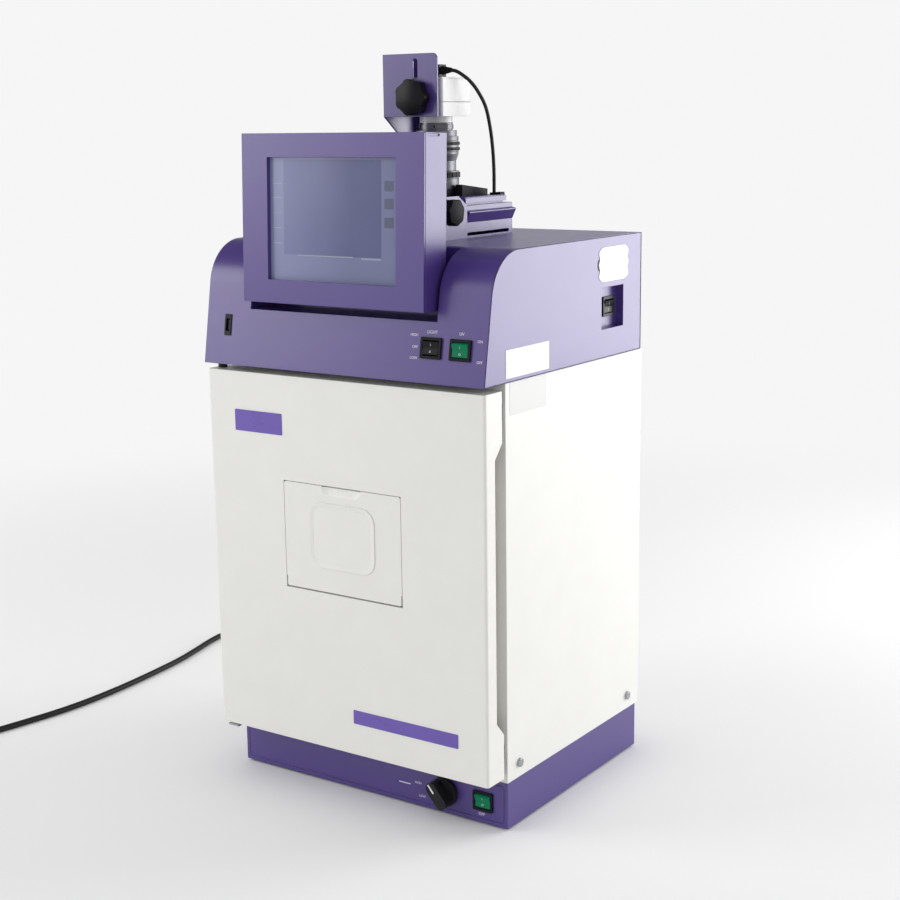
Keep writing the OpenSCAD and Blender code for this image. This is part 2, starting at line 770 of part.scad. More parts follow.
module housing_shell() {
  w = housing_w / 2;
  color(violet) difference() {
    union() {
      difference() {
        to_right(-w, housing_w) housing_outline(0);
        to_right(-w + skin_t, housing_w - 2 * skin_t) housing_outline(skin_t);
      }
      intersection() {
        to_right(-w, housing_w) housing_outline(0);
        recess(recess_w + 2 * skin_t, recess_z - skin_t, recess_back + skin_t);
      }
      intersection() {
        to_right(-w, housing_w) housing_outline(0);
        block([w - pocket_d - skin_t, pocket_y0 - skin_t, pocket_z0 - skin_t],
          [w, pocket_y1 + skin_t, pocket_z1 + skin_t]);
      }
    }
    recess(recess_w, recess_z, recess_back);
    block([w - pocket_d, pocket_y0, pocket_z0], [w + 1, pocket_y1, pocket_z1]);
    for (x = [white_x, uv_x]) on_slope(x, front_rocker_s) rocker_hole(-1, 6);
    on_side(w - pocket_d, pocket_mid_y, pocket_mid_z) rocker_hole(-1, 6);
    on_slope(usb_x, usb_s) block([-3.7, -1, -10.3], [3.7, 6, 10.3]);
    translate([inlet_x, housing_back, inlet_z]) inlet_hole();
    translate([0, lens_y, top_z - 6]) cylinder(h = 10, r = tube_outer + 1);
    // fan slots in the back
    for (i = [0 : 11])
      translate([40 + i * 8, 0, 0])
        to_back(housing_back - skin_t - 1, skin_t + 2) translate([0, housing_z + 62]) round_rect(4, 50, 1.9);
  }
}

pocket_mid_y = 214.5;
pocket_mid_z = (pocket_z0 + pocket_z1) / 2;
tube_outer = 27.5;
tube_inner = 23.5;
filter_t = 3;
tube_top = top_z + 7;

module housing_floor() {
  color(steel) difference() {
    block([-housing_w / 2 + skin_t, -overhang + 3, housing_z],
      [housing_w / 2 - skin_t, housing_back - skin_t, housing_z + 1.5]);
    translate([0, lens_y, housing_z - 1]) cylinder(h = 4, r = tube_inner);
  }
}

module port_tube() {
  color(black) translate([0, lens_y, housing_z + 1.5]) difference() {
    cylinder(h = tube_top - housing_z - 1.5, r = tube_outer);
    translate([0, 0, -1]) cylinder(h = housing_h + 20, r = tube_inner);
    translate([0, 0, tube_top - housing_z - 1.5 - filter_t]) cylinder(h = filter_t + 1, r = tube_inner + 2);
  }
}

module emission_filter() {
  color([0.85, 0.35, 0.05, 0.6]) translate([0, lens_y, tube_top - filter_t])
    cylinder(h = filter_t, r = tube_inner + 2 - 0.1);
}

module usb_socket() {
  color(black) on_slope(usb_x, usb_s) {
    difference() {
      union() {
        to_back(-0.8, 0.8) round_rect(9, 22.5, 1);
        block([-3.4, 0, -10], [3.4, 14, 10]);
      }
      block([-2.6, -2, -6.5], [2.6, 11, 6.5]);
    }
    block([0.4, -0.3, -5.5], [2.2, 11 + eps, 5.5]);
  }
}

// The four bezels, each on its own panel
module rocker_bezels() {
  color(black) {
    for (x = [white_x, uv_x]) on_slope(x, front_rocker_s) rocker_bezel();
    translate([base_rocker_x, 0, dial_z]) rocker_bezel();
    on_side(housing_w / 2 - pocket_d, pocket_mid_y, pocket_mid_z) rocker_bezel();
  }
}

module base_rocker() {
  color(green) translate([base_rocker_x, 0, dial_z]) rocker(rocker_tilt);
}

module white_rocker() {
  color(black) on_slope(white_x, front_rocker_s) rocker(0);
}

module uv_rocker() {
  color(green) on_slope(uv_x, front_rocker_s) rocker(rocker_tilt);
}

module power_rocker() {
  color(black) on_side(housing_w / 2 - pocket_d, pocket_mid_y, pocket_mid_z) rocker(rocker_tilt);
}

// ---------------------------------------------------------------- lens pedestal

ridge_z = top_z + 16;
slot_z = top_z + 2.4;
box_t = 1.5;
lid_y1 = 190;                      // the lid ends before the box does
lid_gap = 2.2;                     // height of the shadow gap under the lid

module lens_pedestal() {
  half = pedestal_w / 2;
  color(violet) difference() {
    union() {
      block([-half, pedestal_y0, top_z], [half, pedestal_y1, cap_z]);
      // a folded louvre runs along each side, its mouth facing down
      for (x = [0, 1]) mirror([x, 0, 0])
        translate([0, pedestal_y1, 0]) rotate([90, 0, 0]) linear_extrude(pedestal_y1 - pedestal_y0)
          polygon([[half - eps, ridge_z], [half + 5, ridge_z + 10.2], [half + 5, ridge_z + 11.2],
            [half - eps, ridge_z + 12.4]]);
    }
    block([-half + box_t, pedestal_y0 + box_t, top_z - 1],
      [half - box_t, pedestal_y1 - box_t, cap_z - box_t]);
    translate([0, lens_y, cap_z - 3]) cylinder(h = 4, r = lens_r + 1);
    translate([cable_path[9][0], cable_path[9][1], cap_z - 3]) cylinder(h = 4, r = cable_d / 2 + 1.5);
    // the louvre's air way, open below its fold
    for (x = [0, 1]) mirror([x, 0, 0])
      translate([0, pedestal_y1 - 3, 0]) rotate([90, 0, 0])
        linear_extrude(pedestal_y1 - pedestal_y0 - 6)
          polygon([[half - 3, ridge_z + 2], [half + 0.2, ridge_z + 2], [half + 3.6, ridge_z + 9.4],
            [half - 3, ridge_z + 10.4]]);
    for (x = [-1, 1])
      translate([x * half, 0, 0]) to_right(-3, 6) translate([pedestal_y0 + 42.5, slot_z + 1.6])
        round_rect(82, 3.2, 1.5);
  }
}

module pedestal_cap() {
  half = pedestal_w / 2;
  gap_in = 3;
  bevel = 0.8;
  color(violet) difference() {
    union() {
      block([-half + gap_in, pedestal_y0 + gap_in, cap_z],
        [half - gap_in, lid_y1 - gap_in, cap_z + lid_gap + eps]);
      block([-half, pedestal_y0, cap_z + lid_gap], [half, lid_y1, cap_top - bevel]);
      block([-half + bevel, pedestal_y0 + bevel, cap_z + lid_gap], [half - bevel, lid_y1 - bevel, cap_top]);
    }
    translate([0, lens_y, cap_z - 1]) cylinder(h = 12, r = lens_r + 0.6);
    translate([cable_path[9][0], cable_path[9][1], cap_z - 1]) cylinder(h = 12, r = cable_d / 2 + 1.5);
  }
}

module cable_hood() {
  grommet = cable_path[9];
  color(black) {
    to_right(26.5, 8) polygon([[139, cap_top], [139, cap_top + 12], [178, cap_top + 7.2],
      [188, cap_top + 6], [188, cap_top]]);
    block([50, 180, cap_top], [56, 188.5, cap_top + 2.8]);
    difference() {
      union() {
        translate([grommet[0], grommet[1], cap_z]) cylinder(h = cap_top - cap_z, r = cable_d / 2 + 1.5);
        translate([grommet[0], grommet[1], cap_top])
          cylinder(h = grommet[2] - cap_top, r = cable_d / 2 + 3);
      }
      translate([grommet[0], grommet[1], cap_z - 1]) cylinder(h = 8, r = cable_d / 2);
    }
  }
}

// ---------------------------------------------------------------- monitor

// Leans children back with the monitor, about its tilt axis
module leaning() {
  translate([0, tilt_y, tilt_z]) rotate([-screen_lean, 0, 0]) translate([0, -tilt_y, -tilt_z]) children();
}

bracket_y0 = 50;
bracket_y1 = 109;

module monitor_bracket() {
  color(violet) difference() {
    to_right(-cheek_x - cheek_t, 2 * (cheek_x + cheek_t)) polygon([
      [bracket_y0, top_z], [bracket_y1, top_z], [bracket_y1, top_z + 34], [bracket_y1 - 16, top_z + 44.5],
      [tilt_y - 10, top_z + 44.5], [bracket_y0, top_z + 33]]);
    block([-cheek_x, bracket_y0 - 1, top_z + 2], [cheek_x, bracket_y1 + 1, top_z + 60]);
    rod_x(-cheek_x - 5, cheek_x + 5, tilt_y, tilt_z, tilt_r + run);
  }
}

module monitor_arm() {
  back = screen_y + screen_d;
  half = cheek_x - fit;
  color(violet) leaning() difference() {
    union() {
      block([-half, back, tilt_z - 28], [half, back + 2, tilt_z + 30]);
      for (x = [-half, half - 2]) {
        to_right(x, 2) polygon([[back, tilt_z - 17], [tilt_y, tilt_z - 13], [tilt_y, tilt_z + 13],
          [back, tilt_z + 19]]);
        rod_x(x, x + 2, tilt_y, tilt_z, 13);
      }
    }
    rod_x(-half - 1, half + 1, tilt_y, tilt_z, tilt_r + run);
  }
}

case_y = screen_y + 2;

module monitor_case() {
  w = screen_w / 2;
  back = screen_y + screen_d;
  z1 = screen_z + screen_h;
  color(violet) leaning() difference() {
    union() {
      block([-w, case_y + 0.6, screen_z], [w, back, z1]);
      block([-w + 0.8, case_y, screen_z + 0.8], [w - 0.8, case_y + 0.7, z1 - 0.8]);
    }
    block([-w + 2.5, case_y - 1, screen_z + 2.5], [w - 2.5, back - 2, z1 - 2.5]);
    // notch in each side's upper edge
    for (x = [-1, 1]) block([x * w - 1, case_y + 3.4, z1 - 3.4], [x * w + 1, case_y + 23, z1 - 1.2]);
    // rows of cooling slots
    for (i = [-6 : 6], z = [screen_z + 12, z1 - 34])
      translate([i * 12, 0, z + 11]) to_back(back - 3, 4) round_rect(3, 22, 1.4);
  }
}

module monitor_bezel() {
  mid = screen_z + screen_h / 2;
  color(violet) leaning() difference() {
    union() {
      translate([0, 0, mid]) to_back(screen_y, 2) round_rect(screen_w, screen_h, 1);
      translate([0, 0, mid]) to_back(screen_y, 4.8) square([view_w + 3, view_h + 3], center = true);
    }
    translate([0, 0, mid]) to_back(screen_y - 1, 8) round_rect(view_w, view_h, 1);
  }
}

module display_panel() {
  mid = screen_z + screen_h / 2;
  color([0.35, 0.4, 0.48]) leaning() translate([0, 0, mid])
    to_back(screen_y + 4.8, 7) square([view_w + 10, view_h + 10], center = true);
}

module clamp_knob(r, t) {
  intersection() {
    linear_extrude(t) lobed(r);
    translate([0, 0, t - 3.4 * r]) sphere(3.4 * r, $fn = 96);
    cylinder(h = t, r1 = r + t, r2 = r - 1.2);
  }
  translate([0, 0, -1.5]) cylinder(h = 1.6, r = r * 0.5);
}

tilt_knob_dia = 27.5;
tilt_knob_t = 12.5;

module tilt_knob() {
  color(black) translate([cheek_x + cheek_t + fit + 1.5, tilt_y, tilt_z]) rotate([0, 90, 0]) {
    clamp_knob(tilt_knob_dia / 2, tilt_knob_t);
    translate([0, 0, -cheek_t - fit - 6]) cylinder(h = 8, r = tilt_r);
  }
}

// ---------------------------------------------------------------- camera and lens

module camera_bracket() {
  plate_top = camera_z + plate_h;
  column_y0 = 134;
  column_y1 = 163;
  left = plate_x + plate_t;
  color(violet) difference() {
    union() {
      // front plate with one round corner
      to_back(plate_y, plate_t) {
        translate([plate_x, camera_z]) square([plate_w, plate_h - 6]);
        translate([plate_x, camera_z]) square([plate_w - 6, plate_h]);
        translate([plate_x + plate_w - 6, plate_top - 6]) circle(6);
      }
      // side wall that carries it, cut away below the plate
      to_right(plate_x, plate_t) polygon([
        [plate_y, camera_z], [plate_y, plate_top], [column_y1, plate_top], [column_y1, cap_top],
        [column_y0, cap_top], [column_y0, camera_z - 22]]);
      block([left - eps, column_y1 - plate_t, cap_top], [left + 9, column_y1, plate_top]);
      block([left - eps, column_y0, cap_top], [left + 11, column_y1, cap_top + plate_t]);
    }
    to_back(plate_y - 1, plate_t + 2) translate([0, plate_top - 30])
      round_rect(2 * (stud_r + fit), 50, stud_r + fit - 0.01);
  }
}

module camera_body() {
  color(white) translate([0, camera_front + camera_d / 2, camera_z + 15]) difference() {
    linear_extrude(camera_h - 15) round_rect(camera_w, camera_d, 3);
    translate([0, 0, camera_h - 16.5]) linear_extrude(3) difference() {
      round_rect(camera_w + 4, camera_d + 4, 4);
      round_rect(camera_w - 2.4, camera_d - 2.4, 2);
    }
  }
}

module camera_base() {
  color(white) difference() {
    union() {
      translate([0, camera_front + camera_d / 2, camera_z]) {
        linear_extrude(14.6) round_rect(camera_w, camera_d, 3);
        linear_extrude(15) round_rect(camera_w - 2, camera_d - 2, 2);
      }
      translate([0, lens_y, flange_z]) cylinder(h = camera_z - flange_z + eps, r = 17.5);
      // threaded block that the clamp knob draws against the plate
      block([-10, plate_y + plate_t + fit, clamp_z - 12], [10, camera_front + eps, clamp_z - 4.6]);
      block([-10, plate_y + plate_t + fit, clamp_z - 12], [10, camera_front - 1, clamp_z + 8]);
    }
    rod_y(plate_y, camera_front - 1 + eps, 0, clamp_z, stud_r + run);
  }
}

// The lens's screwed ring, with a lock screw's hole
module mount_ring() {
  color(steel) translate([0, lens_y, ring_z]) difference() {
    union() {
      cylinder(h = flange_z - ring_z, r = 17.7);
      translate([0, 0, 1.6]) cylinder(h = 4.4, r = 18.4);
    }
    rod_y(-20, -15, 9, 3.8, 1.1);
  }
}

// Levels of the lens, up from its lower end
focus_z = lens_bottom + 24;
focus_h = 8;
zoom_z = lens_bottom + 52.4;
zoom_h = 11;
iris_z = lens_bottom + 63.7;
iris_h = 4.6;

module lens_barrel() {
  body_r = lens_r - 2.6;
  waist_r = lens_r - 4.2;
  color(black) translate([0, lens_y, 0]) difference() {
    union() {
      translate([0, 0, lens_bottom]) cylinder(h = ring_z - lens_bottom, r = core_r);
      translate([0, 0, lens_bottom]) cylinder(h = 14, r1 = lens_r - 4.4, r2 = lens_r - 1.2);
      translate([0, 0, lens_bottom + 14]) cylinder(h = focus_z - lens_bottom - 14 - fit, r = lens_r - 1.2);
      translate([0, 0, focus_z + focus_h + fit])
        cylinder(h = zoom_z - focus_z - focus_h - 2 * fit, r = waist_r);
      translate([0, 0, zoom_z - 10]) cylinder(h = 7.5, r1 = waist_r, r2 = lens_r - 1.5);
      translate([0, 0, zoom_z - 2.5]) cylinder(h = 2.5 - fit, r = lens_r - 1.5);
      translate([0, 0, iris_z + iris_h + fit]) cylinder(h = ring_z - iris_z - iris_h - fit, r = body_r - 0.5);
    }
    translate([0, 0, lens_bottom - 1]) cylinder(h = 7, r1 = core_r - 1, r2 = core_r - 4);
  }
}

// A grip ring on the lens, with its ribbed bands at the given heights
module grip_ring(z, h, bands) {
  translate([0, lens_y, z]) difference() {
    union() {
      cylinder(h = h, r = lens_r - 1.3);
      for (b = bands) translate([0, 0, b[0]]) cylinder(h = b[1], r = lens_r);
    }
    translate([0, 0, -1]) cylinder(h = h + 2, r = core_r + run);
    for (b = bands, i = [0 : 23]) rotate(i * 15) translate([lens_r + 0.15, 0, b[0] - eps])
      cylinder(h = b[1] + 2 * eps, r = 0.7, $fn = 12);
  }
}

module iris_ring() {
  color(steel) grip_ring(iris_z, iris_h, []);
}

module zoom_ring() {
  color(black) grip_ring(zoom_z, zoom_h, [[1.2, 3], [6.8, 3]]);
}

module focus_ring() {
  color(black) grip_ring(focus_z, focus_h, [[1.3, 5.4]]);
}

module camera_plug() {
  start = cable_path[0];
  color(black) {
    block([-4, lens_y - 6, camera_top], [9, lens_y + 7, camera_top + 13.5]);
    translate([9, start[1], start[2]]) rotate([0, 90, 0]) cylinder(h = start[0] - 9, r1 = 4.6, r2 = 2.4);
  }
}

module camera_cable() {
  color(black) tube(cable_path, cable_d, 8, [0, 1, 0], [1, 0, 0], [0, 0, -1]);
}

clamp_t = 12;

module camera_knob() {
  color(black) translate([0, plate_y - fit - 1.5, clamp_z]) rotate([90, 0, 0]) {
    clamp_knob(clamp_dia / 2, clamp_t);
    translate([0, 0, -10]) cylinder(h = 12, r = stud_r);
  }
}

// ---------------------------------------------------------------- mains cord

module mains_connector() {
  y0 = housing_back + 2;
  color(black) translate([inlet_x, 0, inlet_z]) {
    difference() {
      block([-11.7, y0 - 14, -8.2], [11.7, y0 + eps, 8.2]);
      for (x = [-7, 0, 7]) block([x - 1.5, y0 - 15, x == 0 ? -5 : -1.5], [x + 1.5, y0 - 1, x == 0 ? 0 : 3.5]);
    }
    to_back(y0, 22) round_rect(28, 20, 4);
    translate([0, y0 + 22, 0]) rotate([-90, 0, 0]) cylinder(h = cord_path[0][1] - y0 - 22, r1 = 8, r2 = 4.4);
  }
}

module mains_cord() {
  color(black) tube(cord_path, cord_d, 18, [0, 0, 1], [0, 1, 0], [0, -1, 0]);
}

module mains_coil() {
  color(black) translate([coil_x, coil_y, 0]) rotate_extrude()
    translate([coil_r - cord_d / 2, 0.1]) round_coil();
}

// Section of the coil's solid: the turns lie on each other
module round_coil() {
  h = cord_d * coil_layers;
  translate([0, cord_d / 2]) square([cord_d, h - cord_d]);
  for (z = [cord_d / 2, h - cord_d / 2]) translate([cord_d / 2, z]) circle(cord_d / 2);
}

module mains_plug() {
  relief = 22;
  body_z = 0.1;
  lead_z = 0.1 + cord_d * (coil_layers - 0.5);
  color(black) translate([coil_x - coil_r, coil_y, 0]) {
    translate([0, 0, lead_z]) rotate([-90, 0, 0]) cylinder(h = relief, r1 = cord_d / 2, r2 = 6.9);
    translate([0, relief, body_z + 12.5]) to_back(0, 27) round_rect(26, 25, 5);
  }
  color(steel) translate([coil_x - coil_r, coil_y + relief + 27, body_z + 12.5]) {
    for (i = [-1, 1]) block([i * 6.3 - 0.8, -eps, 0], [i * 6.3 + 0.8, 17, 6.5]);
    rod_y(-eps, 19, 0, -7, 2.4);
  }
}

// ---------------------------------------------------------------- nodes

// The instrument stands over the origin: the monitor's lower edge is its front, the
// power inlet its back
front_y = tilt_y + (screen_y - tilt_y) * cos(screen_lean) + (screen_z - tilt_z) * sin(screen_lean);
back_y = cab_d;
module placed() {
  translate([0, -(front_y + back_y) / 2, 0]) children();
}

placed() transilluminator_case();
placed() transilluminator_panel();
placed() transilluminator_deck();
placed() filter_glass();
placed() filter_frame();
placed() uv_tubes();
placed() lamp_tray();
placed() base_electronics();
placed() base_feet();
placed() power_inlets();
placed() intensity_knob();
placed() rocker_bezels();
placed() base_rocker();
placed() cabinet_shell();
placed() cabinet_frame();
placed() door_seal();
placed() machine_screws();
placed() door_hinges();
placed() door_catches();
placed() epi_lamps();
placed() door_panel();
placed() door_liner();
placed() hinge_bushes();
placed() window_frame();
placed() window_pane();
placed() flap_pin();
placed() window_flap();
placed() housing_shell();
placed() housing_floor();
placed() port_tube();
placed() emission_filter();
placed() usb_socket();
placed() white_rocker();
placed() uv_rocker();
placed() power_rocker();
placed() lens_pedestal();
placed() pedestal_cap();
placed() cable_hood();
placed() monitor_bracket();
placed() monitor_arm();
placed() monitor_case();
placed() monitor_bezel();
placed() display_panel();
placed() tilt_knob();
placed() camera_bracket();
placed() camera_body();
placed() camera_base();
placed() mount_ring();
placed() lens_barrel();
placed() iris_ring();
placed() zoom_ring();
placed() focus_ring();
placed() camera_plug();
placed() camera_cable();
placed() camera_knob();
placed() mains_connector();
placed() mains_cord();
placed() mains_coil();
placed() mains_plug();
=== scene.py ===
# %% [markdown]
# # A gel documentation system
# A benchtop cabinet for photographing gels: an ultraviolet base, a light-tight cabinet with a
# door, a control housing with a tilting screen, and a camera on top. The metal and plastic
# pieces arrive as a fixed frame, already at their real size. This notebook gives them their
# finishes, and models what the frame leaves out: marks, labels, screw heads, cords and screen.

import math

import bmesh
import bpy
from mathutils import Matrix, Vector


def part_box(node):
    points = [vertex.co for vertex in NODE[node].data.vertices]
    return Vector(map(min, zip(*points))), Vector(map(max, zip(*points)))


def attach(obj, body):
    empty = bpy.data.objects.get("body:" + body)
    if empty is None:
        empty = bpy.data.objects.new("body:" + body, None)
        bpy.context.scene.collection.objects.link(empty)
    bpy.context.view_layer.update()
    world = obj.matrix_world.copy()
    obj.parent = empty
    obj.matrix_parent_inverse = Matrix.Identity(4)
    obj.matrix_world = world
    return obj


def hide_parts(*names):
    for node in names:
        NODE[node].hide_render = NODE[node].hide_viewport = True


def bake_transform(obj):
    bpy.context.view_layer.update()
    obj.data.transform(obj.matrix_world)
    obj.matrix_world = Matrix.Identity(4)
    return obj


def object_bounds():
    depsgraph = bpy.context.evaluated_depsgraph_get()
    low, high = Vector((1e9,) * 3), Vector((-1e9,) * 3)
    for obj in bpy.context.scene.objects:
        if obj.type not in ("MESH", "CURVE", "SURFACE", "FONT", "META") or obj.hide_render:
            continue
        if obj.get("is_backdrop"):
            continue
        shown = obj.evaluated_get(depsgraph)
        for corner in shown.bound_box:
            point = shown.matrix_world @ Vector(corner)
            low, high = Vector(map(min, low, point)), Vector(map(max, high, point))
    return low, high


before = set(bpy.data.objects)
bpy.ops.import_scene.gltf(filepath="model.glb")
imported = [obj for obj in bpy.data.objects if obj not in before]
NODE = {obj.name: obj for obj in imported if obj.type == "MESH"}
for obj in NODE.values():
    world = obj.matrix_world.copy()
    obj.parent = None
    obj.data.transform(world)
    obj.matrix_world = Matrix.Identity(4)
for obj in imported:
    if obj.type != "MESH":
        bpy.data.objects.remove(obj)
frame_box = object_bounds()

# %% [markdown]
# Sizes below are in millimetres from the middle of the base's front edge, at bench height, as
# they would be measured with a ruler. `at` turns such a place into the frame's metres.

# %% Places
MM = 0.001
FRONT_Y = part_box("transilluminator_case")[0].y


def at(x, y, z):
    """A place measured in millimetres from the base's front edge, in the frame's metres."""
    return Vector((x * MM, y * MM + FRONT_Y, z * MM))


def add_piece(name, data):
    """An object with this data in the scene, at the origin."""
    piece = bpy.data.objects.new(name, data)
    bpy.context.collection.objects.link(piece)
    return piece


def mesh_of(drawn):
    """A curve's or text's surface as a mesh of its own."""
    bpy.context.view_layer.update()
    graph = bpy.context.evaluated_depsgraph_get()
    return bpy.data.meshes.new_from_object(drawn.evaluated_get(graph))


def save_mesh(shape, name):
    """The drawn shape as a mesh; the drawing itself is given back."""
    mesh = bpy.data.meshes.new(name)
    shape.to_mesh(mesh)
    shape.free()
    return mesh


print("the base's front edge lies at y =", round(FRONT_Y, 4), "m")

# %% [markdown]
# ## The camera
# It stands to the right of the instrument and looks down on it a little. A camera's axes can be
# worked out from two angles: how far round the object it stands, and how high.

# %% Camera
CAMERA_ROUND = math.radians(34.44)
CAMERA_ABOVE = math.radians(11.58)
CAMERA_ROLL = math.radians(-0.76)
CAMERA_LENS = 64.21
CAMERA_PLACE = at(992.5, -1287.5, 710)


def camera_axes():
    """The camera's right, up and back directions."""
    back = Vector((
        math.sin(CAMERA_ROUND) * math.cos(CAMERA_ABOVE),
        -math.cos(CAMERA_ROUND) * math.cos(CAMERA_ABOVE),
        math.sin(CAMERA_ABOVE),
    ))
    level = (-back).cross(Vector((0, 0, 1))).normalized()
    upright = level.cross(-back)
    right = level * math.cos(CAMERA_ROLL) + upright * math.sin(CAMERA_ROLL)
    up = upright * math.cos(CAMERA_ROLL) - level * math.sin(CAMERA_ROLL)
    return right, up, back


camera_data = bpy.data.cameras.new("camera")
camera_data.lens = CAMERA_LENS
camera = add_piece("camera", camera_data)
turn = Matrix(camera_axes()).transposed().to_4x4()
camera.matrix_world = Matrix.Translation(CAMERA_PLACE) @ turn
bpy.context.scene.camera = camera
bpy.context.scene.view_settings.view_transform = "Standard"
print("camera at", [round(c, 3) for c in CAMERA_PLACE], "m")

# %% [markdown]
# ## Finishes
# Every finish is a small set of shader nodes. Patterns read Object coordinates, which are in
# metres here, so a noise scale of 1000 gives grains about a millimetre across. A value that is
# the same all over a surface goes straight into the shader's own socket.

# %% A helper for finishes


def add_node(tree, kind, inputs, **settings):
    """Adds a node; an input is a number, a tuple or another node's output."""
    node = tree.nodes.new(kind)
    for key, value in settings.items():
        setattr(node, key, value)
    for key, value in inputs.items():
        if isinstance(value, bpy.types.NodeSocket):
            tree.links.new(value, node.inputs[key])
        else:
            node.inputs[key].default_value = value
    return node


class Finish:
    """A material under construction: its shader and a short way to add nodes."""

    def __init__(self, name, colour, roughness, metallic=0.0):
        self.material = bpy.data.materials.new(name)
        self.material.use_nodes = True
        self.tree = self.material.node_tree
        self.shader = self.tree.nodes["Principled BSDF"]
        self.shader.inputs["Base Color"].default_value = (*colour, 1)
        self.shader.inputs["Roughness"].default_value = roughness
        self.shader.inputs["Metallic"].default_value = metallic
        self.place = self.tree.nodes.new("ShaderNodeTexCoord").outputs["Object"]

    def node(self, kind, inputs, **settings):
        return add_node(self.tree, kind, inputs, **settings)

    def set(self, **values):
        """Sets shader sockets, named with underscores for spaces."""
        for key, value in values.items():
            self.shader.inputs[key.replace("_", " ")].default_value = value
        return self

    def into(self, output, socket):
        """Joins a node's output to a shader socket."""
        self.tree.links.new(output, self.shader.inputs[socket])
        return self

    def noise(self, scale, detail=3.0):
        """A cloudy pattern through the material."""
        inputs = {"Vector": self.place, "Scale": scale, "Detail": detail}
        return self.node("ShaderNodeTexNoise", inputs).outputs["Fac"]

    def spread(self, value, low, high):
        """Stretches a noise's middle range onto low..high."""
        inputs = {"Value": value, "From Min": 0.3, "From Max": 0.7, "To Min": low, "To Max": high}
        return self.node("ShaderNodeMapRange", inputs).outputs["Result"]

    def ramp(self, value, first, last):
        """Turns a noise into a colour between the first and the last."""
        node = self.node("ShaderNodeValToRGB", {"Fac": value})
        for end, where, colour in zip(node.color_ramp.elements, (0.3, 0.7), (first, last)):
            end.position = where
            end.color = (*colour, 1)
        return node.outputs["Color"]

    def choose(self, switch, off, on):
        """One colour where the switch is 0 and another where it is 1."""
        inputs = {0: switch, 6: (*off, 1) if isinstance(off, tuple) else off,
                  7: (*on, 1) if isinstance(on, tuple) else on}
        return self.node("ShaderNodeMix", inputs, data_type="RGBA").outputs[2]

    def sum(self, operation, a, b):
        """One step of arithmetic on two values."""
        return self.node("ShaderNodeMath", {0: a, 1: b}, operation=operation).outputs[0]

    def axis(self, name):
        """The place along X, Y or Z."""
        return self.node("ShaderNodeSeparateXYZ", {"Vector": self.place}).outputs[name]

    def bump(self, height, depth, rounding=0.0):
        """Raises the surface by a pattern; rounding softens how its edges shade, in metres."""
        inputs = {"Strength": 0.5, "Distance": depth, "Height": height}
        if rounding:
            edge = self.node("ShaderNodeBevel", {"Radius": rounding}, samples=6)
            inputs["Normal"] = edge.outputs["Normal"]
        return self.into(self.node("ShaderNodeBump", inputs).outputs["Normal"], "Normal")


def shade(colour, factor):
    """The colour made lighter or darker."""
    return tuple(min(1, c * factor) for c in colour)


def mottled(name, colour, roughness, grain, depth, drift=0.04, rounding=0.0, metallic=0.0,
            sheen=0.04):
    """A finish whose colour drifts a little, whose gloss varies and whose surface has a grain."""
    finish = Finish(name, colour, roughness, metallic)
    tint = finish.ramp(finish.noise(30, 4), shade(colour, 1 - drift), shade(colour, 1 + drift))
    finish.into(tint, "Base Color")
    gloss = finish.spread(finish.noise(60), roughness - sheen, roughness + sheen)
    finish.into(gloss, "Roughness")
    finish.bump(finish.noise(grain, 2), depth, rounding)
    return finish


# %% [markdown]
# The sheet metal is powder coated: a baked plastic skin with a fine orange peel. It is satin,
# so it takes a broad sheen from a bright wall and keeps its colour where it faces away from one.
# Sheet edges are never razor sharp: the Bevel node rounds how they shade without changing them.

# %% Sheet metal finishes
VIOLET = (0.065, 0.036, 0.215)
CREAM = (0.80, 0.795, 0.76)
PALE = (0.62, 0.62, 0.62)
NEARLY_BLACK = (0.010, 0.010, 0.012)


def powder_coat(name, colour, roughness, gloss):
    finish = mottled(name, colour, roughness, 900, 0.00003, 0.012, 0.0007, sheen=0.01)
    return finish.set(Specular_IOR_Level=gloss, Coat_Weight=0.15, Coat_Roughness=0.25)


violet_coat = powder_coat("violet_powder_coat", VIOLET, 0.34, 0.66).material
cream_coat = powder_coat("cream_powder_coat", CREAM, 0.5, 0.4).material
pale_enamel = powder_coat("pale_enamel", PALE, 0.35, 0.5).material

print("coats:", violet_coat.name, cream_coat.name, pale_enamel.name)

# %% [markdown]
# Moulded plastic and rubber take their grain from the mould. Dark parts mirror little, so that
# they stay dark beside a bright wall. The green rockers get a faint painted glow that brightens
# their translucent plastic.

# %% Plastics and rubber


def moulded(name, colour, roughness, gloss):
    finish = mottled(name, colour, roughness, 1400, 0.00002, rounding=0.0005)
    return finish.set(Specular_IOR_Level=gloss)


black_plastic = moulded("black_plastic", NEARLY_BLACK, 0.3, 0.12).material
gloss_black = moulded("gloss_black_plastic", NEARLY_BLACK, 0.3, 0.14).material
dull_black = moulded("dull_black_plastic", (0.011, 0.011, 0.014), 0.5, 0.08).material
black_rubber = moulded("black_rubber", (0.016, 0.016, 0.017), 0.55, 0.3).material
white_plastic = moulded("white_plastic", (0.8, 0.8, 0.78), 0.4, 0.5).material
foam = mottled("seal_foam", (0.02, 0.02, 0.02), 0.95, 700, 0.0004).material
green_glow_plastic = moulded("green_rocker_plastic", (0.004, 0.13, 0.06), 0.3, 0.12)
# A faint painted glow stands in for light in the translucent green plastic.
green_glow_plastic = green_glow_plastic.set(Emission_Color=(0.0, 0.3, 0.14, 1), Emission_Strength=0.15).material

print("plastics:", black_plastic.name, white_plastic.name, green_glow_plastic.name)

# %% [markdown]
# Machined metal has a very fine grain and small bevels. Its metallic value is 1, so its colour is
# the colour of what it mirrors; the black tube is anodised, which hides the metal.

# %% Metals
STEEL = (0.42, 0.43, 0.45)
LENS_SILVER = (0.13, 0.13, 0.145)
RING_SILVER = (0.09, 0.09, 0.10)
TUBE_BLACK = (0.02, 0.02, 0.023)


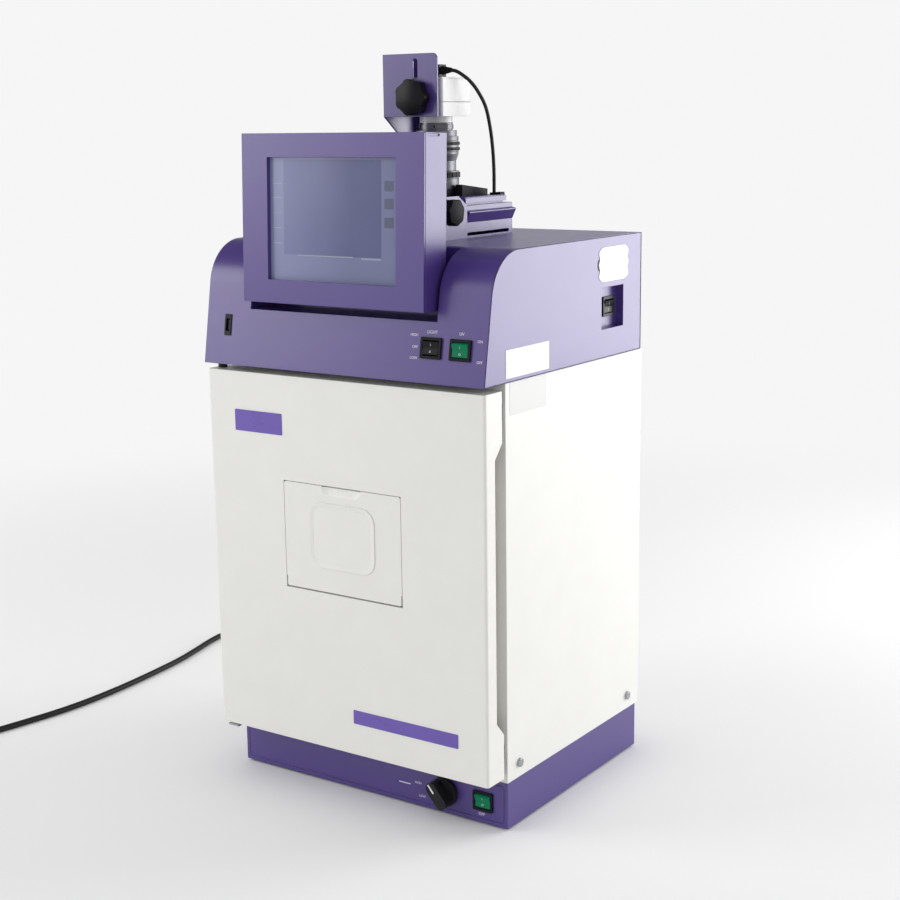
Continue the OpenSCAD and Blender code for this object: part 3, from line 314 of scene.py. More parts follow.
def machined(name, colour, roughness, grain, depth, metallic=1.0):
    return mottled(name, colour, roughness, grain, depth, 0.05, 0.0003, metallic).material


brushed_steel = machined("brushed_steel", STEEL, 0.34, 1600, 0.00002)
satin_aluminium = machined("satin_aluminium", LENS_SILVER, 0.38, 1800, 0.00002)
mount_metal = machined("bright_ring", RING_SILVER, 0.24, 1800, 0.00001)
anodised_black = machined("black_anodised", TUBE_BLACK, 0.4, 1500, 0.00002, 0.0)
print("metals:", brushed_steel.name, satin_aluminium.name, mount_metal.name)

# %% [markdown]
# The lens rings carry rubber bands on a metal body. One material does both: it measures how far
# each point lies from the lens's own axis, and turns to rubber beyond the metal's radius.

# %% Rubber-banded lens rings
LENS_AXIS = at(0, 142, 0)
METAL_RADIUS = 0.02385
BAND_RUBBER = (0.014, 0.014, 0.015)


def banded_metal(name, metal_radius):
    """Bare metal near the lens's axis and rubber beyond the metal's radius."""
    finish = Finish(name, LENS_SILVER, 0.38, 1.0)
    vector = "ShaderNodeVectorMath"
    away = finish.node(vector, {0: finish.place, 1: LENS_AXIS}, operation="SUBTRACT")
    flat = finish.node(vector, {0: away.outputs[0], 1: (1, 1, 0)}, operation="MULTIPLY")
    radius = finish.node(vector, {0: flat.outputs[0]}, operation="LENGTH")
    rubber = finish.sum("GREATER_THAN", radius.outputs["Value"], metal_radius)
    finish.into(finish.choose(rubber, LENS_SILVER, BAND_RUBBER), "Base Color")
    finish.into(finish.sum("SUBTRACT", 1.0, rubber), "Metallic")
    finish.into(finish.sum("ADD", finish.sum("MULTIPLY", rubber, 0.2), 0.38), "Roughness")
    finish.bump(finish.noise(1800, 2), 0.00002, 0.0004)
    return finish.set(Specular_IOR_Level=0.3).material


banded_ring = banded_metal("banded_ring", METAL_RADIUS)
print("rubber starts", round(METAL_RADIUS / MM, 2), "mm from the axis of the lens")

# %% [markdown]
# The lower hinge pin is bare steel and the upper one black, and the knob has a white pointer
# line. Both are one piece in the frame, so their material changes colour at a measured place.

# %% Two-coloured pieces
PINS_PART_Z = 0.2
POINTER_FACE = -18.05
POINTER_WHITE = (0.85, 0.85, 0.85)


def split_by(name, axis, where, below, above, roughness, metallic_below=0.0):
    """A finish that changes at one place along an axis."""
    finish = Finish(name, below, roughness)
    switch = finish.sum("GREATER_THAN", finish.axis(axis), where)
    finish.into(finish.choose(switch, below, above), "Base Color")
    if metallic_below:
        metal = finish.sum("MULTIPLY", finish.sum("SUBTRACT", 1.0, switch), metallic_below)
        finish.into(metal, "Metallic")
    finish.bump(finish.noise(1500, 2), 0.00002, 0.0005)
    return finish.set(Specular_IOR_Level=0.3).material


hinge_metal = split_by("hinge_pins", "Z", PINS_PART_Z, STEEL, NEARLY_BLACK, 0.35, 1.0)
pointer_knob = split_by("pointer_knob", "Y", at(0, POINTER_FACE, 0).y, POINTER_WHITE,
                        NEARLY_BLACK, 0.38)
print("two-coloured:", hinge_metal.name, pointer_knob.name)

# %% [markdown]
# Glass and acrylic let light through with a tint: amber in the door's window, violet over the
# ultraviolet tubes, orange in front of the camera. The tubes themselves are frosted.

# %% Glass and lamps


def clear(name, colour, roughness=0.06, weight=0.85):
    """A see-through finish; the weight says how much light goes through."""
    finish = Finish(name, colour, roughness)
    finish.into(finish.spread(finish.noise(40), roughness, roughness + 0.03), "Roughness")
    return finish.set(Transmission_Weight=weight, IOR=1.5).material


amber_glass = clear("amber_acrylic", (0.85, 0.42, 0.05))
ultraviolet_glass = clear("ultraviolet_filter_glass", (0.05, 0.03, 0.14), 0.05, 0.5)
orange_glass = clear("emission_filter_glass", (0.9, 0.3, 0.05))
frosted_glass = mottled("frosted_tube_glass", (0.78, 0.79, 0.83), 0.3, 900, 0.00001).material
print("glasses:", amber_glass.name, ultraviolet_glass.name, orange_glass.name)

# %% [markdown]
# The screen is a liquid crystal panel behind glass, switched off. It is slate blue, with a painted
# reflection of the room that makes it paler at the left, and a darker picture area inside a paler
# margin. One map along X gives that painted reflection, and four comparisons along X and Z mark
# the picture area's edges.

# %% Screen finish
SCREEN_REFLECTED_LEFT = (0.195, 0.21, 0.37)
SCREEN_RIGHT = (0.10, 0.108, 0.225)
MARGIN_LIGHT = (0.40, 0.43, 0.60, 1)
MARGIN_LIFT = 0.22
MARGINS = {"left": 0.0225, "right": 0.0255, "low": 0.031, "high": 0.0072}


def screen_finish():
    """The glass: a painted reflection paling it to the left, a darker picture area and a paler
    margin.
    """
    finish = Finish("screen_glass", SCREEN_RIGHT, 0.22)
    low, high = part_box("display_panel")
    across, up = finish.axis("X"), finish.axis("Z")
    inside = finish.sum("LESS_THAN", up, high.z - MARGINS["high"])
    for value, limit, side in ((across, low.x + MARGINS["left"], "GREATER_THAN"),
                               (across, high.x - MARGINS["right"], "LESS_THAN"),
                               (up, low.z + MARGINS["low"], "GREATER_THAN")):
        inside = finish.sum("MULTIPLY", inside, finish.sum(side, value, limit))
    # Painted reflection: the base colour pales towards the left along X, as if mirroring the room.
    drift = {"Value": across, "From Min": low.x + 0.005, "From Max": high.x - 0.06}
    reflection_fade = finish.node("ShaderNodeMapRange", drift).outputs["Result"]
    reflection_fade = finish.sum("ADD", reflection_fade, finish.spread(finish.noise(18), -0.06, 0.06))
    glass = finish.choose(reflection_fade, SCREEN_REFLECTED_LEFT, SCREEN_RIGHT)
    lifted = finish.node("ShaderNodeMix", {0: MARGIN_LIFT, 6: glass, 7: MARGIN_LIGHT},
                         data_type="RGBA").outputs[2]
    finish.into(finish.choose(inside, lifted, glass), "Base Color")
    finish.into(finish.spread(finish.noise(30), 0.2, 0.26), "Roughness")
    return finish.set(Specular_IOR_Level=0.25, Coat_Weight=0.1, Coat_Roughness=0.12).material


screen_glass = screen_finish()
print("screen margins, m:", MARGINS)

# %% [markdown]
# Each frame piece wears one finish. A table from finish to pieces is easy to check: a piece that
# is named nowhere would be printed below.

# %% Which piece wears which finish
WORN = {
    violet_coat: [
        "transilluminator_case", "transilluminator_panel", "transilluminator_deck",
        "housing_shell", "lens_pedestal", "pedestal_cap", "monitor_bracket", "monitor_arm",
        "monitor_case", "monitor_bezel", "camera_bracket",
    ],
    cream_coat: ["cabinet_shell", "cabinet_frame", "door_panel", "door_liner", "window_flap",
                 "window_frame"],
    pale_enamel: ["camera_body", "camera_base"],
    black_plastic: [
        "power_inlets", "rocker_bezels", "door_catches", "usb_socket",
        "camera_plug", "camera_knob", "base_electronics",
    ],
    gloss_black: ["white_rocker", "power_rocker"],
    green_glow_plastic: ["base_rocker", "uv_rocker"],
    dull_black: ["tilt_knob", "cable_hood"],
    black_rubber: ["base_feet", "camera_cable", "mains_connector", "mains_cord", "mains_coil",
                   "mains_plug"],
    foam: ["door_seal"],
    white_plastic: ["epi_lamps", "hinge_bushes"],
    brushed_steel: ["filter_frame", "lamp_tray", "machine_screws", "flap_pin", "housing_floor"],
    hinge_metal: ["door_hinges"],
    pointer_knob: ["intensity_knob"],
    satin_aluminium: ["iris_ring", "lens_barrel"],
    mount_metal: ["mount_ring"],
    banded_ring: ["zoom_ring", "focus_ring"],
    anodised_black: ["port_tube"],
    amber_glass: ["window_pane"],
    ultraviolet_glass: ["filter_glass"],
    orange_glass: ["emission_filter"],
    frosted_glass: ["uv_tubes"],
    screen_glass: ["display_panel"],
}


def wear(piece, material):
    """Gives a piece its one material."""
    piece.data.materials.clear()
    piece.data.materials.append(material)


for material, names in WORN.items():
    for name in names:
        wear(NODE[name], material)
bare = sorted(set(NODE) - {name for names in WORN.values() for name in names})
print("pieces without a finish:", bare)

# %% [markdown]
# ## The mains cord
# The cord leaves its connector at the back, falls to the bench, runs round the left side and
# ends in a small coil with its plug. A smooth curve through a few chosen points is how a cord is
# drawn by hand; here a spline passes through them and the coil's turns follow by a loop.

# %% Cord route
CORD_THICK = 7
CORD_POINTS = [
    (-105, 337, 500.5), (-105, 347, 500.2), (-105, 362, 496.5), (-105.5, 375, 485),
    (-106.5, 382, 466), (-107.5, 385.5, 440), (-108, 386.5, 380), (-109, 387, 280),
    (-110, 388, 180), (-113, 389, 100), (-118, 391, 55), (-130, 395, 24), (-155, 400, 8),
    (-190, 404, 3.6), (-250, 409, 3.6), (-320, 412, 3.6), (-390, 410, 3.6), (-440, 402, 3.6),
    (-475, 385, 3.6), (-495, 358, 3.6), (-502, 325, 3.6), (-498, 290, 3.6), (-488, 250, 3.6),
    (-478, 205, 3.6), (-471, 150, 3.6), (-466, 90, 3.6), (-465, 35, 3.6), (-468, -12, 3.6),
    (-475, -56, 3.6), (-483, -96, 3.6), (-489, -128, 3.6), (-491, -160, 3.6),
]


def smooth_route(points, between):
    """Points along a smooth curve through the given ones."""
    places = [at(*p) for p in points]
    route = []
    for i in range(len(places) - 1):
        a, b = places[max(i - 1, 0)], places[i]
        c, d = places[i + 1], places[min(i + 2, len(places) - 1)]
        for k in range(between):
            t = k / between
            route.append(0.5 * (2 * b + (c - a) * t + (2 * a - 5 * b + 4 * c - d) * t * t
                                + (3 * b - a - 3 * c + d) * t ** 3))
    return route + [places[-1]]


LYING = 3.6
COIL_MIDDLE = (-527.5, -160)
COIL_RADIUS = 36.5
COIL_START, COIL_END, COIL_STEP = 10, 540, 10
CLIMB_START, CLIMB_TURN = 270, 90


def coil_route():
    """One turn and a half: the first turn on the bench, the half turn on top of it."""
    route = []
    for degrees in range(COIL_START, COIL_END + 1, COIL_STEP):
        angle = -math.radians(degrees)
        climb = min(max((degrees - CLIMB_START) / CLIMB_TURN, 0), 1)
        height = LYING + CORD_THICK * climb * climb * (3 - 2 * climb)
        route.append(at(COIL_MIDDLE[0] + COIL_RADIUS * math.cos(angle),
                        COIL_MIDDLE[1] + COIL_RADIUS * math.sin(angle), height))
    return route


def drawn_cord(name, route, thick):
    """A round cord along the route, as a curve of one open spline."""
    curve = bpy.data.curves.new(name, "CURVE")
    curve.dimensions = "3D"
    curve.bevel_depth = thick * MM / 2
    curve.bevel_resolution = 4
    curve.use_fill_caps = True
    line = curve.splines.new("POLY")
    line.points.add(len(route) - 1)
    for point, place in zip(line.points, route):
        point.co = (*place, 1)
    line.use_smooth = True
    return add_piece(name, curve)


def length_of(route):
    """The length along a route, in metres."""
    return sum((b - a).length for a, b in zip(route, route[1:]))


plug_end = at(COIL_MIDDLE[0] - COIL_RADIUS, COIL_MIDDLE[1] + 22, LYING + CORD_THICK)
cord_route = smooth_route(CORD_POINTS, 4) + coil_route() + [plug_end]
mains_line = drawn_cord("mains_line", cord_route, CORD_THICK)
wear(mains_line, black_rubber)
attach(mains_line, "chassis")
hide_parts("mains_cord", "mains_coil")
print("cord length", round(length_of(cord_route), 3), "m")

# %% [markdown]
# ## The camera's lead
# A short stiff lead arches from the camera's plug down into the hood on the pedestal. The camera
# slides up and down and the hood doesn't. The lead is made a mesh that takes the place of the
# frame's cable.

# %% Camera lead
LEAD_THICK = 3.8
LEAD_POINTS = [
    (20, 143, 762.4), (24.8, 144.4, 761.2), (29.2, 146.8, 758.4), (35.4, 153.5, 751.4),
    (40.2, 161.5, 740.8), (43.7, 171.5, 724.1), (45.2, 178, 701.3), (45.6, 182, 678.4),
    (45.5, 184, 656.6), (45.2, 184.5, 634),
]
LEAD_BETWEEN = 6
lead_route = smooth_route(LEAD_POINTS, LEAD_BETWEEN)
lead_curve = drawn_cord("lead_curve", lead_route, LEAD_THICK)
camera_lead = add_piece("camera_lead", mesh_of(lead_curve))
bpy.data.objects.remove(lead_curve)
wear(camera_lead, black_rubber)
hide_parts("camera_cable")
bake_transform(camera_lead)
print("lead length", round(length_of(lead_route), 3), "m")

# %% [markdown]
# ## Marks, labels and small parts
# Thin flat things sit on the instrument's faces. Each face gets a frame of its own: one
# direction to the right, one upwards, and the third straight out. A piece is drawn flat in
# millimetres, then carried to its place by that frame, mesh and all.

# %% Faces that carry something
LEAN = math.radians(9.2)
SLOPE_FOOT_Y, SLOPE_FOOT_Z = -40.3, 462.5
DOOR_FACE_Y = (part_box("door_panel")[0].y - FRONT_Y) / MM
FLAP_LOW, FLAP_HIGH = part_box("window_flap")
SIDE_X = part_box("housing_shell")[1].x / MM
CABINET_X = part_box("cabinet_shell")[1].x / MM


def facing(origin, right, up):
    """A frame at a place, with its right and up directions; the third axis points outwards."""
    turned = Matrix((right, up, Vector(right).cross(Vector(up)))).transposed().to_4x4()
    return Matrix.Translation(at(*origin)) @ turned @ Matrix.Scale(MM, 4)


def on_front(x, z, y=0.0):
    """A place on an upright front face."""
    return facing((x, y, z), (1, 0, 0), (0, 0, 1))


def on_right(y, z, x):
    """A place on a face that looks to the right."""
    return facing((x, y, z), (0, 1, 0), (0, 0, 1))


def on_slope(x, z):
    """A place on the control panel's sloped face, at a height above the bench."""
    along = (z - SLOPE_FOOT_Z) * math.tan(LEAN)
    up = (0, math.sin(LEAN), math.cos(LEAN))
    return facing((x, SLOPE_FOOT_Y + along, z), (1, 0, 0), up)


def finished(name, shape, place, material, body):
    """Carries a drawn mesh to its place and makes it a piece on a body."""
    shape.transform(place)
    bmesh.ops.recalc_face_normals(shape, faces=shape.faces)
    piece = add_piece(name, save_mesh(shape, name))
    wear(piece, material)
    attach(piece, body)
    return piece


print("door face at y =", round(DOOR_FACE_Y, 1), "mm, side wall at x =", round(SIDE_X, 1), "mm")

# %% [markdown]
# Most of what follows is a rounded plate: a rectangle with rounded corners, raised by its
# thickness, with the rim of its top face softened so that it catches the light.

# %% A rounded plate


def raise_up(shape, thick):
    """Extrudes the whole flat drawing upwards and gives back the points of its top."""
    raised = bmesh.ops.extrude_face_region(shape, geom=shape.faces)["geom"]
    top = [v for v in raised if isinstance(v, bmesh.types.BMVert)]
    bmesh.ops.translate(shape, vec=(0, 0, thick), verts=top)
    return top


def rounded_plate(width, height, thick, corner, edge=0.15):
    """A flat plate lying on its face: a grid, rounded at its corners and pushed outwards."""
    shape = bmesh.new()
    bmesh.ops.create_grid(shape, x_segments=1, y_segments=1, size=0.5)
    bmesh.ops.scale(shape, vec=(width, height, 1), verts=shape.verts)
    if corner:
        bmesh.ops.bevel(shape, geom=shape.verts, offset=corner, segments=6, profile=0.5,
                        affect="VERTICES", material=-1)
    top = raise_up(shape, thick)
    rim = [e for e in shape.edges if all(v in top for v in e.verts)]
    bmesh.ops.bevel(shape, geom=rim, offset=edge, segments=2, profile=0.5, affect="EDGES",
                    material=-1)
    return shape


# %% [markdown]
# The badge places are thin enamelled plates, left bare. A smooth film over a vivid violet print
# is what such badges are made of, so their finish is glossier than the coat around them.

# %% Badges
BADGE_VIOLET = (0.135, 0.085, 0.41)
badge_film = mottled("badge_film", BADGE_VIOLET, 0.3, 1500, 0.00001)
badge_film = badge_film.set(Specular_IOR_Level=0.4, Coat_Weight=0.4, Coat_Roughness=0.15).material
finished("door_badge", rounded_plate(64, 22.8, 0.5, 1.2),
         on_front(-108.7, 403.7, DOOR_FACE_Y), badge_film, "door")
finished("door_strip", rounded_plate(131.8, 15, 0.5, 0.8),
         on_front(73.8, 101.3, DOOR_FACE_Y), badge_film, "door")
print("badges lie on the door at y =", round(DOOR_FACE_Y, 1), "mm")

# %% [markdown]
# The flap carries a pressed bead in its middle: a low rounded rib that stiffens the sheet. It is
# a plate with an inset floor pushed back down, its edges rounded.

# %% Pressed bead on the flap
BEAD_CORNER, BEAD_EDGE = 16, 0.3
BEAD_FLOOR = 0.15
BEAD_Z = 292


def pressed_bead(width, height, rib, thick):
    """A low rib round a floor that is pushed back almost to the sheet."""
    shape = rounded_plate(width, height, thick, BEAD_CORNER, BEAD_EDGE)
    top = [f for f in shape.faces if f.normal.z > 0.99 and f.calc_center_median().z > thick * 0.9]
    bmesh.ops.recalc_face_normals(shape, faces=shape.faces)
    floor_face = max(top or shape.faces, key=lambda f: f.calc_area())
    bmesh.ops.inset_region(shape, faces=[floor_face], thickness=rib, use_even_offset=True)
    bmesh.ops.translate(shape, vec=(0, 0, BEAD_FLOOR - thick), verts=floor_face.verts)
    bmesh.ops.bevel(shape, geom=list(floor_face.edges), offset=BEAD_FLOOR, segments=2,
                    profile=0.5, affect="EDGES", material=-1)
    return shape


flap_middle_x = (FLAP_LOW.x + FLAP_HIGH.x) / 2 / MM
flap_face_y = (FLAP_LOW.y - FRONT_Y) / MM
finished("flap_bead", pressed_bead(84, 70, 4.5, 0.9),
         on_front(flap_middle_x, BEAD_Z, flap_face_y), cream_coat, "viewing_flap")
print("bead at x =", round(flap_middle_x, 1), "mm on the flap")

# %% [markdown]
# Rating labels are printed film. On the real instrument they hold small print; here they are
# bare white film with a slight wrinkle where air stayed under it. A dark plate behind the left
# edge of the wavy sticker is painted shadow, where that edge lifts off the wall.

# %% Labels
label_film = mottled("label_film", (0.76, 0.76, 0.75), 0.45, 60, 0.0002, 0.01).material
faint_film = mottled("faint_label_film", (0.66, 0.66, 0.65), 0.4, 60, 0.0002, 0.01).material
finished("housing_label", rounded_plate(80.5, 28, 0.25, 1.2, 0.08),
         on_right(38.2, 480.5, SIDE_X), label_film, "chassis")
finished("cabinet_label", rounded_plate(69.2, 33, 0.2, 1.2, 0.06),
         on_right(42.1, 445.5, CABINET_X), faint_film, "chassis")


def wavy_sticker(width, height, thick, depth):
    """A sticker whose left and right edges run in waves and whose corners are rounded off."""
    shape = bmesh.new()
    bmesh.ops.create_grid(shape, x_segments=16, y_segments=16, size=0.5)
    for corner in shape.verts:
        across, up = 2 * corner.co.x, 2 * corner.co.y
        rounding = 1 - 0.09 * (across * up) ** 8
        wave = depth * math.cos(3 * math.pi * up) * across ** 3
        corner.co = (across * width / 2 * rounding + wave, up * height / 2 * rounding, 0)
    raise_up(shape, thick)
    return shape


finished("housing_sticker", wavy_sticker(62, 36, 0.4, 1.1), on_right(211.5, 561, SIDE_X),
         label_film, "chassis")
# Painted shadow: a dark plate where the sticker's lifted edge shades the wall.
finished("sticker_edge_shadow", rounded_plate(12, 13, 0.2, 5), on_right(183, 561, SIDE_X),
         black_rubber, "chassis")
print("labels on the side wall at x =", round(SIDE_X, 1), "mm")

# %% [markdown]
# The side plates are let into the wrapped sheet of the housing. A thin dark line of shade
# follows the brow there, so a fine dark cord of painted shade is drawn along that outline: down
# the slope, round the brow and along the top.

# %% Painted shade along the housing's seams
# A darker violet cord: painted shade along the side plates' outline and foot.
painted_seam_shade = mottled("painted_seam_shade", shade(VIOLET, 0.35), 0.6, 900, 0.00001).material
TOP_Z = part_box("housing_shell")[1].z / MM
HOUSING_BACK = (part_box("housing_shell")[1].y - FRONT_Y) / MM
BROW_R = 50
BROW_STEPS = 24
SEAM_IN = 0.7
SEAM_THICK = 0.9


def brow_outline(x):
    """Down the slope, round the brow and along the top, a little inside the outline."""
    middle_z = TOP_Z - BROW_R
    away = BROW_R + (middle_z - SLOPE_FOOT_Z) * math.sin(LEAN)
    middle_y = SLOPE_FOOT_Y + away / math.cos(LEAN)
    route = [at(x, SLOPE_FOOT_Y + SEAM_IN, SLOPE_FOOT_Z + 0.5)]
    turn = math.pi / 2 - LEAN
    reach = BROW_R - SEAM_IN
    for step in range(BROW_STEPS + 1):
        angle = math.pi - LEAN - turn * step / BROW_STEPS
        route.append(at(x, middle_y + reach * math.cos(angle), middle_z + reach * math.sin(angle)))
    route.append(at(x, HOUSING_BACK - 1, TOP_Z - SEAM_IN))
    route.append(at(x, HOUSING_BACK - 1, SLOPE_FOOT_Z + SEAM_IN))
    return route


for side, x in (("right", SIDE_X), ("left", -SIDE_X)):
    route = brow_outline(x)
    for name, line in (("brow", route), ("foot", [route[0], route[-1]])):
        seam = drawn_cord(f"seam_{name}_{side}", line, SEAM_THICK)
        wear(seam, painted_seam_shade)
        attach(seam, "chassis")
    print(side, "seam is", round(length_of(route), 3), "m long")

# %% [markdown]
# Even switched off, the panel shows faint marks of its touch keys: small squares in the margin
# at the right, short lines at the left, and thin lines under the picture area.

# %% Faint marks on the screen
key_shade = mottled("key_shade", (0.07, 0.075, 0.15), 0.3, 900, 0.00001, 0.02).material
pale_shade = mottled("pale_shade", (0.27, 0.29, 0.38), 0.3, 900, 0.00001, 0.02).material
screen_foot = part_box("display_panel")[0]
screen_y = (screen_foot.y - FRONT_Y) / MM
SCREEN_LEAN = math.radians(2)


def on_screen(x, z):
    """A place on the display's face, which leans back a little with the monitor."""
    along = (z - screen_foot.z / MM) * math.tan(SCREEN_LEAN)
    up = (0, math.sin(SCREEN_LEAN), math.cos(SCREEN_LEAN))
    return facing((x, screen_y + along, z), (1, 0, 0), up)


def screen_mark(name, width, height, corner, x, z, material):
    """A mark as thin as ink on the display."""
    finished(name, rounded_plate(width, height, 0.08, corner, 0.02), on_screen(x, z), material,
             "monitor")


for i, z in enumerate((649.8, 632.9, 615)):
    screen_mark(f"touch_key_right_{i}", 11, 10, 0.8, 68.6, z, key_shade)
for i, z in enumerate((651, 637, 622, 607, 592)):
    screen_mark(f"touch_key_left_{i}", 11, 1.2, 0.3, -71, z, pale_shade)
screen_mark("screen_line_long", 70, 1.1, 0.3, -10, 580.4, pale_shade)
screen_mark("screen_line_short", 24, 1.6, 0.3, 47, 579.4, pale_shade)
print("screen face at y =", round(screen_y, 1), "mm")

# %% [markdown]
# Control marks are white ink. Blender's text object draws the letters; its outline is made a
# mesh with a hair's thickness, so that it lies on the panel like printed ink.

# %% Printed marks
white_ink = mottled("white_ink", (0.75, 0.75, 0.8), 0.5, 1500, 0.00001).material


def letters(words, size, thick=0.12):
    """The words as a flat mesh centred on the place, with the ink's thickness."""
    curve = bpy.data.curves.new("letters", "FONT")
    curve.body = words
    curve.size = size
    curve.align_x = "CENTER"
    curve.align_y = "CENTER"
    curve.extrude = thick / 2
    curve.resolution_u = 3
    drawn = add_piece("letters", curve)
    mesh = mesh_of(drawn)
    shape = bmesh.new()
    shape.from_mesh(mesh)
    bmesh.ops.translate(shape, vec=(0, 0, thick / 2), verts=shape.verts)
    bpy.data.objects.remove(drawn)
    bpy.data.curves.remove(curve)
    bpy.data.meshes.remove(mesh)
    return shape


PANEL_WORDS = [
    ("HIGH", 92.4, 508, 3.8), ("OFF", 94, 496.6, 3.8), ("LOW", 93.2, 486, 3.8),
    ("ON", 168.6, 505.9, 3.8), ("OFF", 169.6, 486.5, 3.8), ("LIGHT", 113.3, 511.6, 4.4),
    ("UV", 147.3, 511.8, 4.4),
]
BASE_WORDS = [("OFF", 143.3, 11.4, 4.4), ("HIGH", 63.4, 27.3, 3.6), ("LOW", 68.6, 13.4, 3.6)]
for i, (words, x, z, size) in enumerate(PANEL_WORDS):
    finished(f"panel_mark_{i}", letters(words, size), on_slope(x, z), white_ink, "chassis")
for words, x, z, size in BASE_WORDS:
    finished(f"base_mark_{words}_{round(x)}", letters(words, size), on_front(x, z, 0),
             white_ink, "chassis")
finished("arrow_shaft", rounded_plate(15, 1, 0.12, 0.2, 0.03), on_front(46, 23.6, 0),
         white_ink, "chassis")
print(len(PANEL_WORDS) + len(BASE_WORDS), "printed words")

# %% [markdown]
# A rocker's two faces meet in a shallow valley and carry a line and a ring, the usual signs for
# on and off. Each sign is placed on its own face: first to the pivot behind the panel, then
# turned by the rocker's tilt, then out along the face.

# %% Signs on the rockers
PIVOT_IN, ROCKER_R, VALLEY, RISE = 1.5, 7.3, 2.9, 1.3
SIGN_OUT = 0.45
ROCKERS = [
    ("base_switch", "base_rocker", on_front(145.3, 26), 8, ("I", "O")),
    ("uv_switch", "uv_rocker", on_slope(147.3, 496.2), 8, ("I", "O")),
    ("white_light_switch", "white_rocker", on_slope(113.3, 496.2), 0, ("I", "II")),
    ("power_switch", "power_rocker", on_right(214.5, 515, 168), 8, ("I", "O")),
]
for body, node, panel, tilt, signs in ROCKERS:
    tilted = Matrix.Rotation(math.radians(tilt), 4, "X")
    pivot = panel @ Matrix.Translation((0, 0, -PIVOT_IN)) @ tilted
    for way, sign in zip((1, -1), signs):
        face = Matrix.Translation((0, way * ROCKER_R * SIGN_OUT, VALLEY + RISE * SIGN_OUT + 0.03))
        along = Matrix.Rotation(way * math.atan(RISE / ROCKER_R), 4, "X")
        finished(f"{node}_sign_{sign}", letters(sign, 3.4, 0.1), pivot @ face @ along,
                 white_ink, body)
    print(node, "signs:", signs)

# %% [markdown]
# A machine screw's head is a low dome with a cross recess. A grid with a plus-shaped middle
# gives the recess its faces; the grid's outer ring is pushed out to a circle, pulled down into
# the head's wall, and the plus is pushed in.

# %% Screw heads
SCREW_STOPS = (-1, -0.6, -0.16, 0.16, 0.6, 1)


def stop(value):
    """Moves an even grid's coordinate to the next stop of the cross."""
    return SCREW_STOPS[round((value + 1) * 2.5)]


def cross_head(radius, height, recess):
    """A low domed head with a cross recess."""
    shape = bmesh.new()
    bmesh.ops.create_grid(shape, x_segments=5, y_segments=5, size=1)
    for corner in shape.verts:
        x, y = stop(corner.co.x), stop(corner.co.y)
        if max(abs(x), abs(y)) == 1:
            reach = math.hypot(x, y)
            x, y = x / reach, y / reach
        corner.co = (x * radius, y * radius, height)
    outer = [e for e in shape.edges if e.is_boundary]
    wall = bmesh.ops.extrude_edge_only(shape, edges=outer)["geom"]
    foot = [v for v in wall if isinstance(v, bmesh.types.BMVert)]
    bmesh.ops.translate(shape, vec=(0, 0, -height), verts=foot)
    bmesh.ops.bevel(shape, geom=outer, offset=height * 0.45, segments=4, profile=0.5,
                    affect="EDGES", material=-1)
    cross = []
    for face in shape.faces:
        middle = face.calc_center_median()
        on_arm = min(abs(middle.x), abs(middle.y)) < radius * 0.1
        if middle.z > height * 0.98 and on_arm and middle.xy.length < radius * 0.55:
            cross.append(face)
    sunk = bmesh.ops.extrude_face_region(shape, geom=cross)["geom"]
    floor_points = [v for v in sunk if isinstance(v, bmesh.types.BMVert)]
    bmesh.ops.translate(shape, vec=(0, 0, -recess), verts=floor_points)
    bmesh.ops.delete(shape, geom=cross, context="FACES")
    return shape


SCREW_UP = 67.4
SCREW_ROWS = {"front": 22.6, "back": 253.6}
SCREW_SIZE = {"radius": 4.6, "height": 2.6, "recess": 1.1}
for side, way in (("right", 1), ("left", -1)):
    for where, y in SCREW_ROWS.items():
        place = facing((way * CABINET_X, y, SCREW_UP), (0, way, 0), (0, 0, 1))
        finished(f"screw_{side}_{where}", cross_head(**SCREW_SIZE), place, brushed_steel,
                 "chassis")
print("screw heads", SCREW_UP, "mm up, at y =", list(SCREW_ROWS.values()), "mm")

# %% [markdown]
# ## Floor and light
# A white studio table. The floor is an ordinary pale surface that takes the object's
# shadow, and further off it blends into the white of the room, so that no horizon shows. The
# room is one white for the camera and for reflections, and a softer one for what it lights.

# %% Floor and room
ROOM_WHITE = 0.92
ROOM_LIGHT = 0.70
CEILING = 0.14
WHITE = (1, 1, 1, 1)
FLOOR_WHITE = (0.9, 0.9, 0.905, 1)
FLOOR_NEAR, FLOOR_FAR = 0.7, 2.0
FLOOR_SIZE = 8


def calculated(tree, operation, a, b):
    """One step of arithmetic in a node tree."""
    return add_node(tree, "ShaderNodeMath", {0: a, 1: b}, operation=operation).outputs[0]


def smooth_step(tree, value, low, high):
    """0 up to low, 1 from high on and a smooth rise between them."""
    inputs = {"Value": value, "From Min": low, "From Max": high}
    node = add_node(tree, "ShaderNodeMapRange", inputs, interpolation_type="SMOOTHSTEP")
    return node.outputs["Result"]


def seen_rays(tree):
    """1 for camera, glossy and transmission rays, 0 for the rays that light things."""
    rays = tree.nodes.new("ShaderNodeLightPath").outputs
    value = rays["Is Camera Ray"]
    for name in ("Is Glossy Ray", "Is Transmission Ray"):
        value = calculated(tree, "MAXIMUM", value, rays[name])
    return value


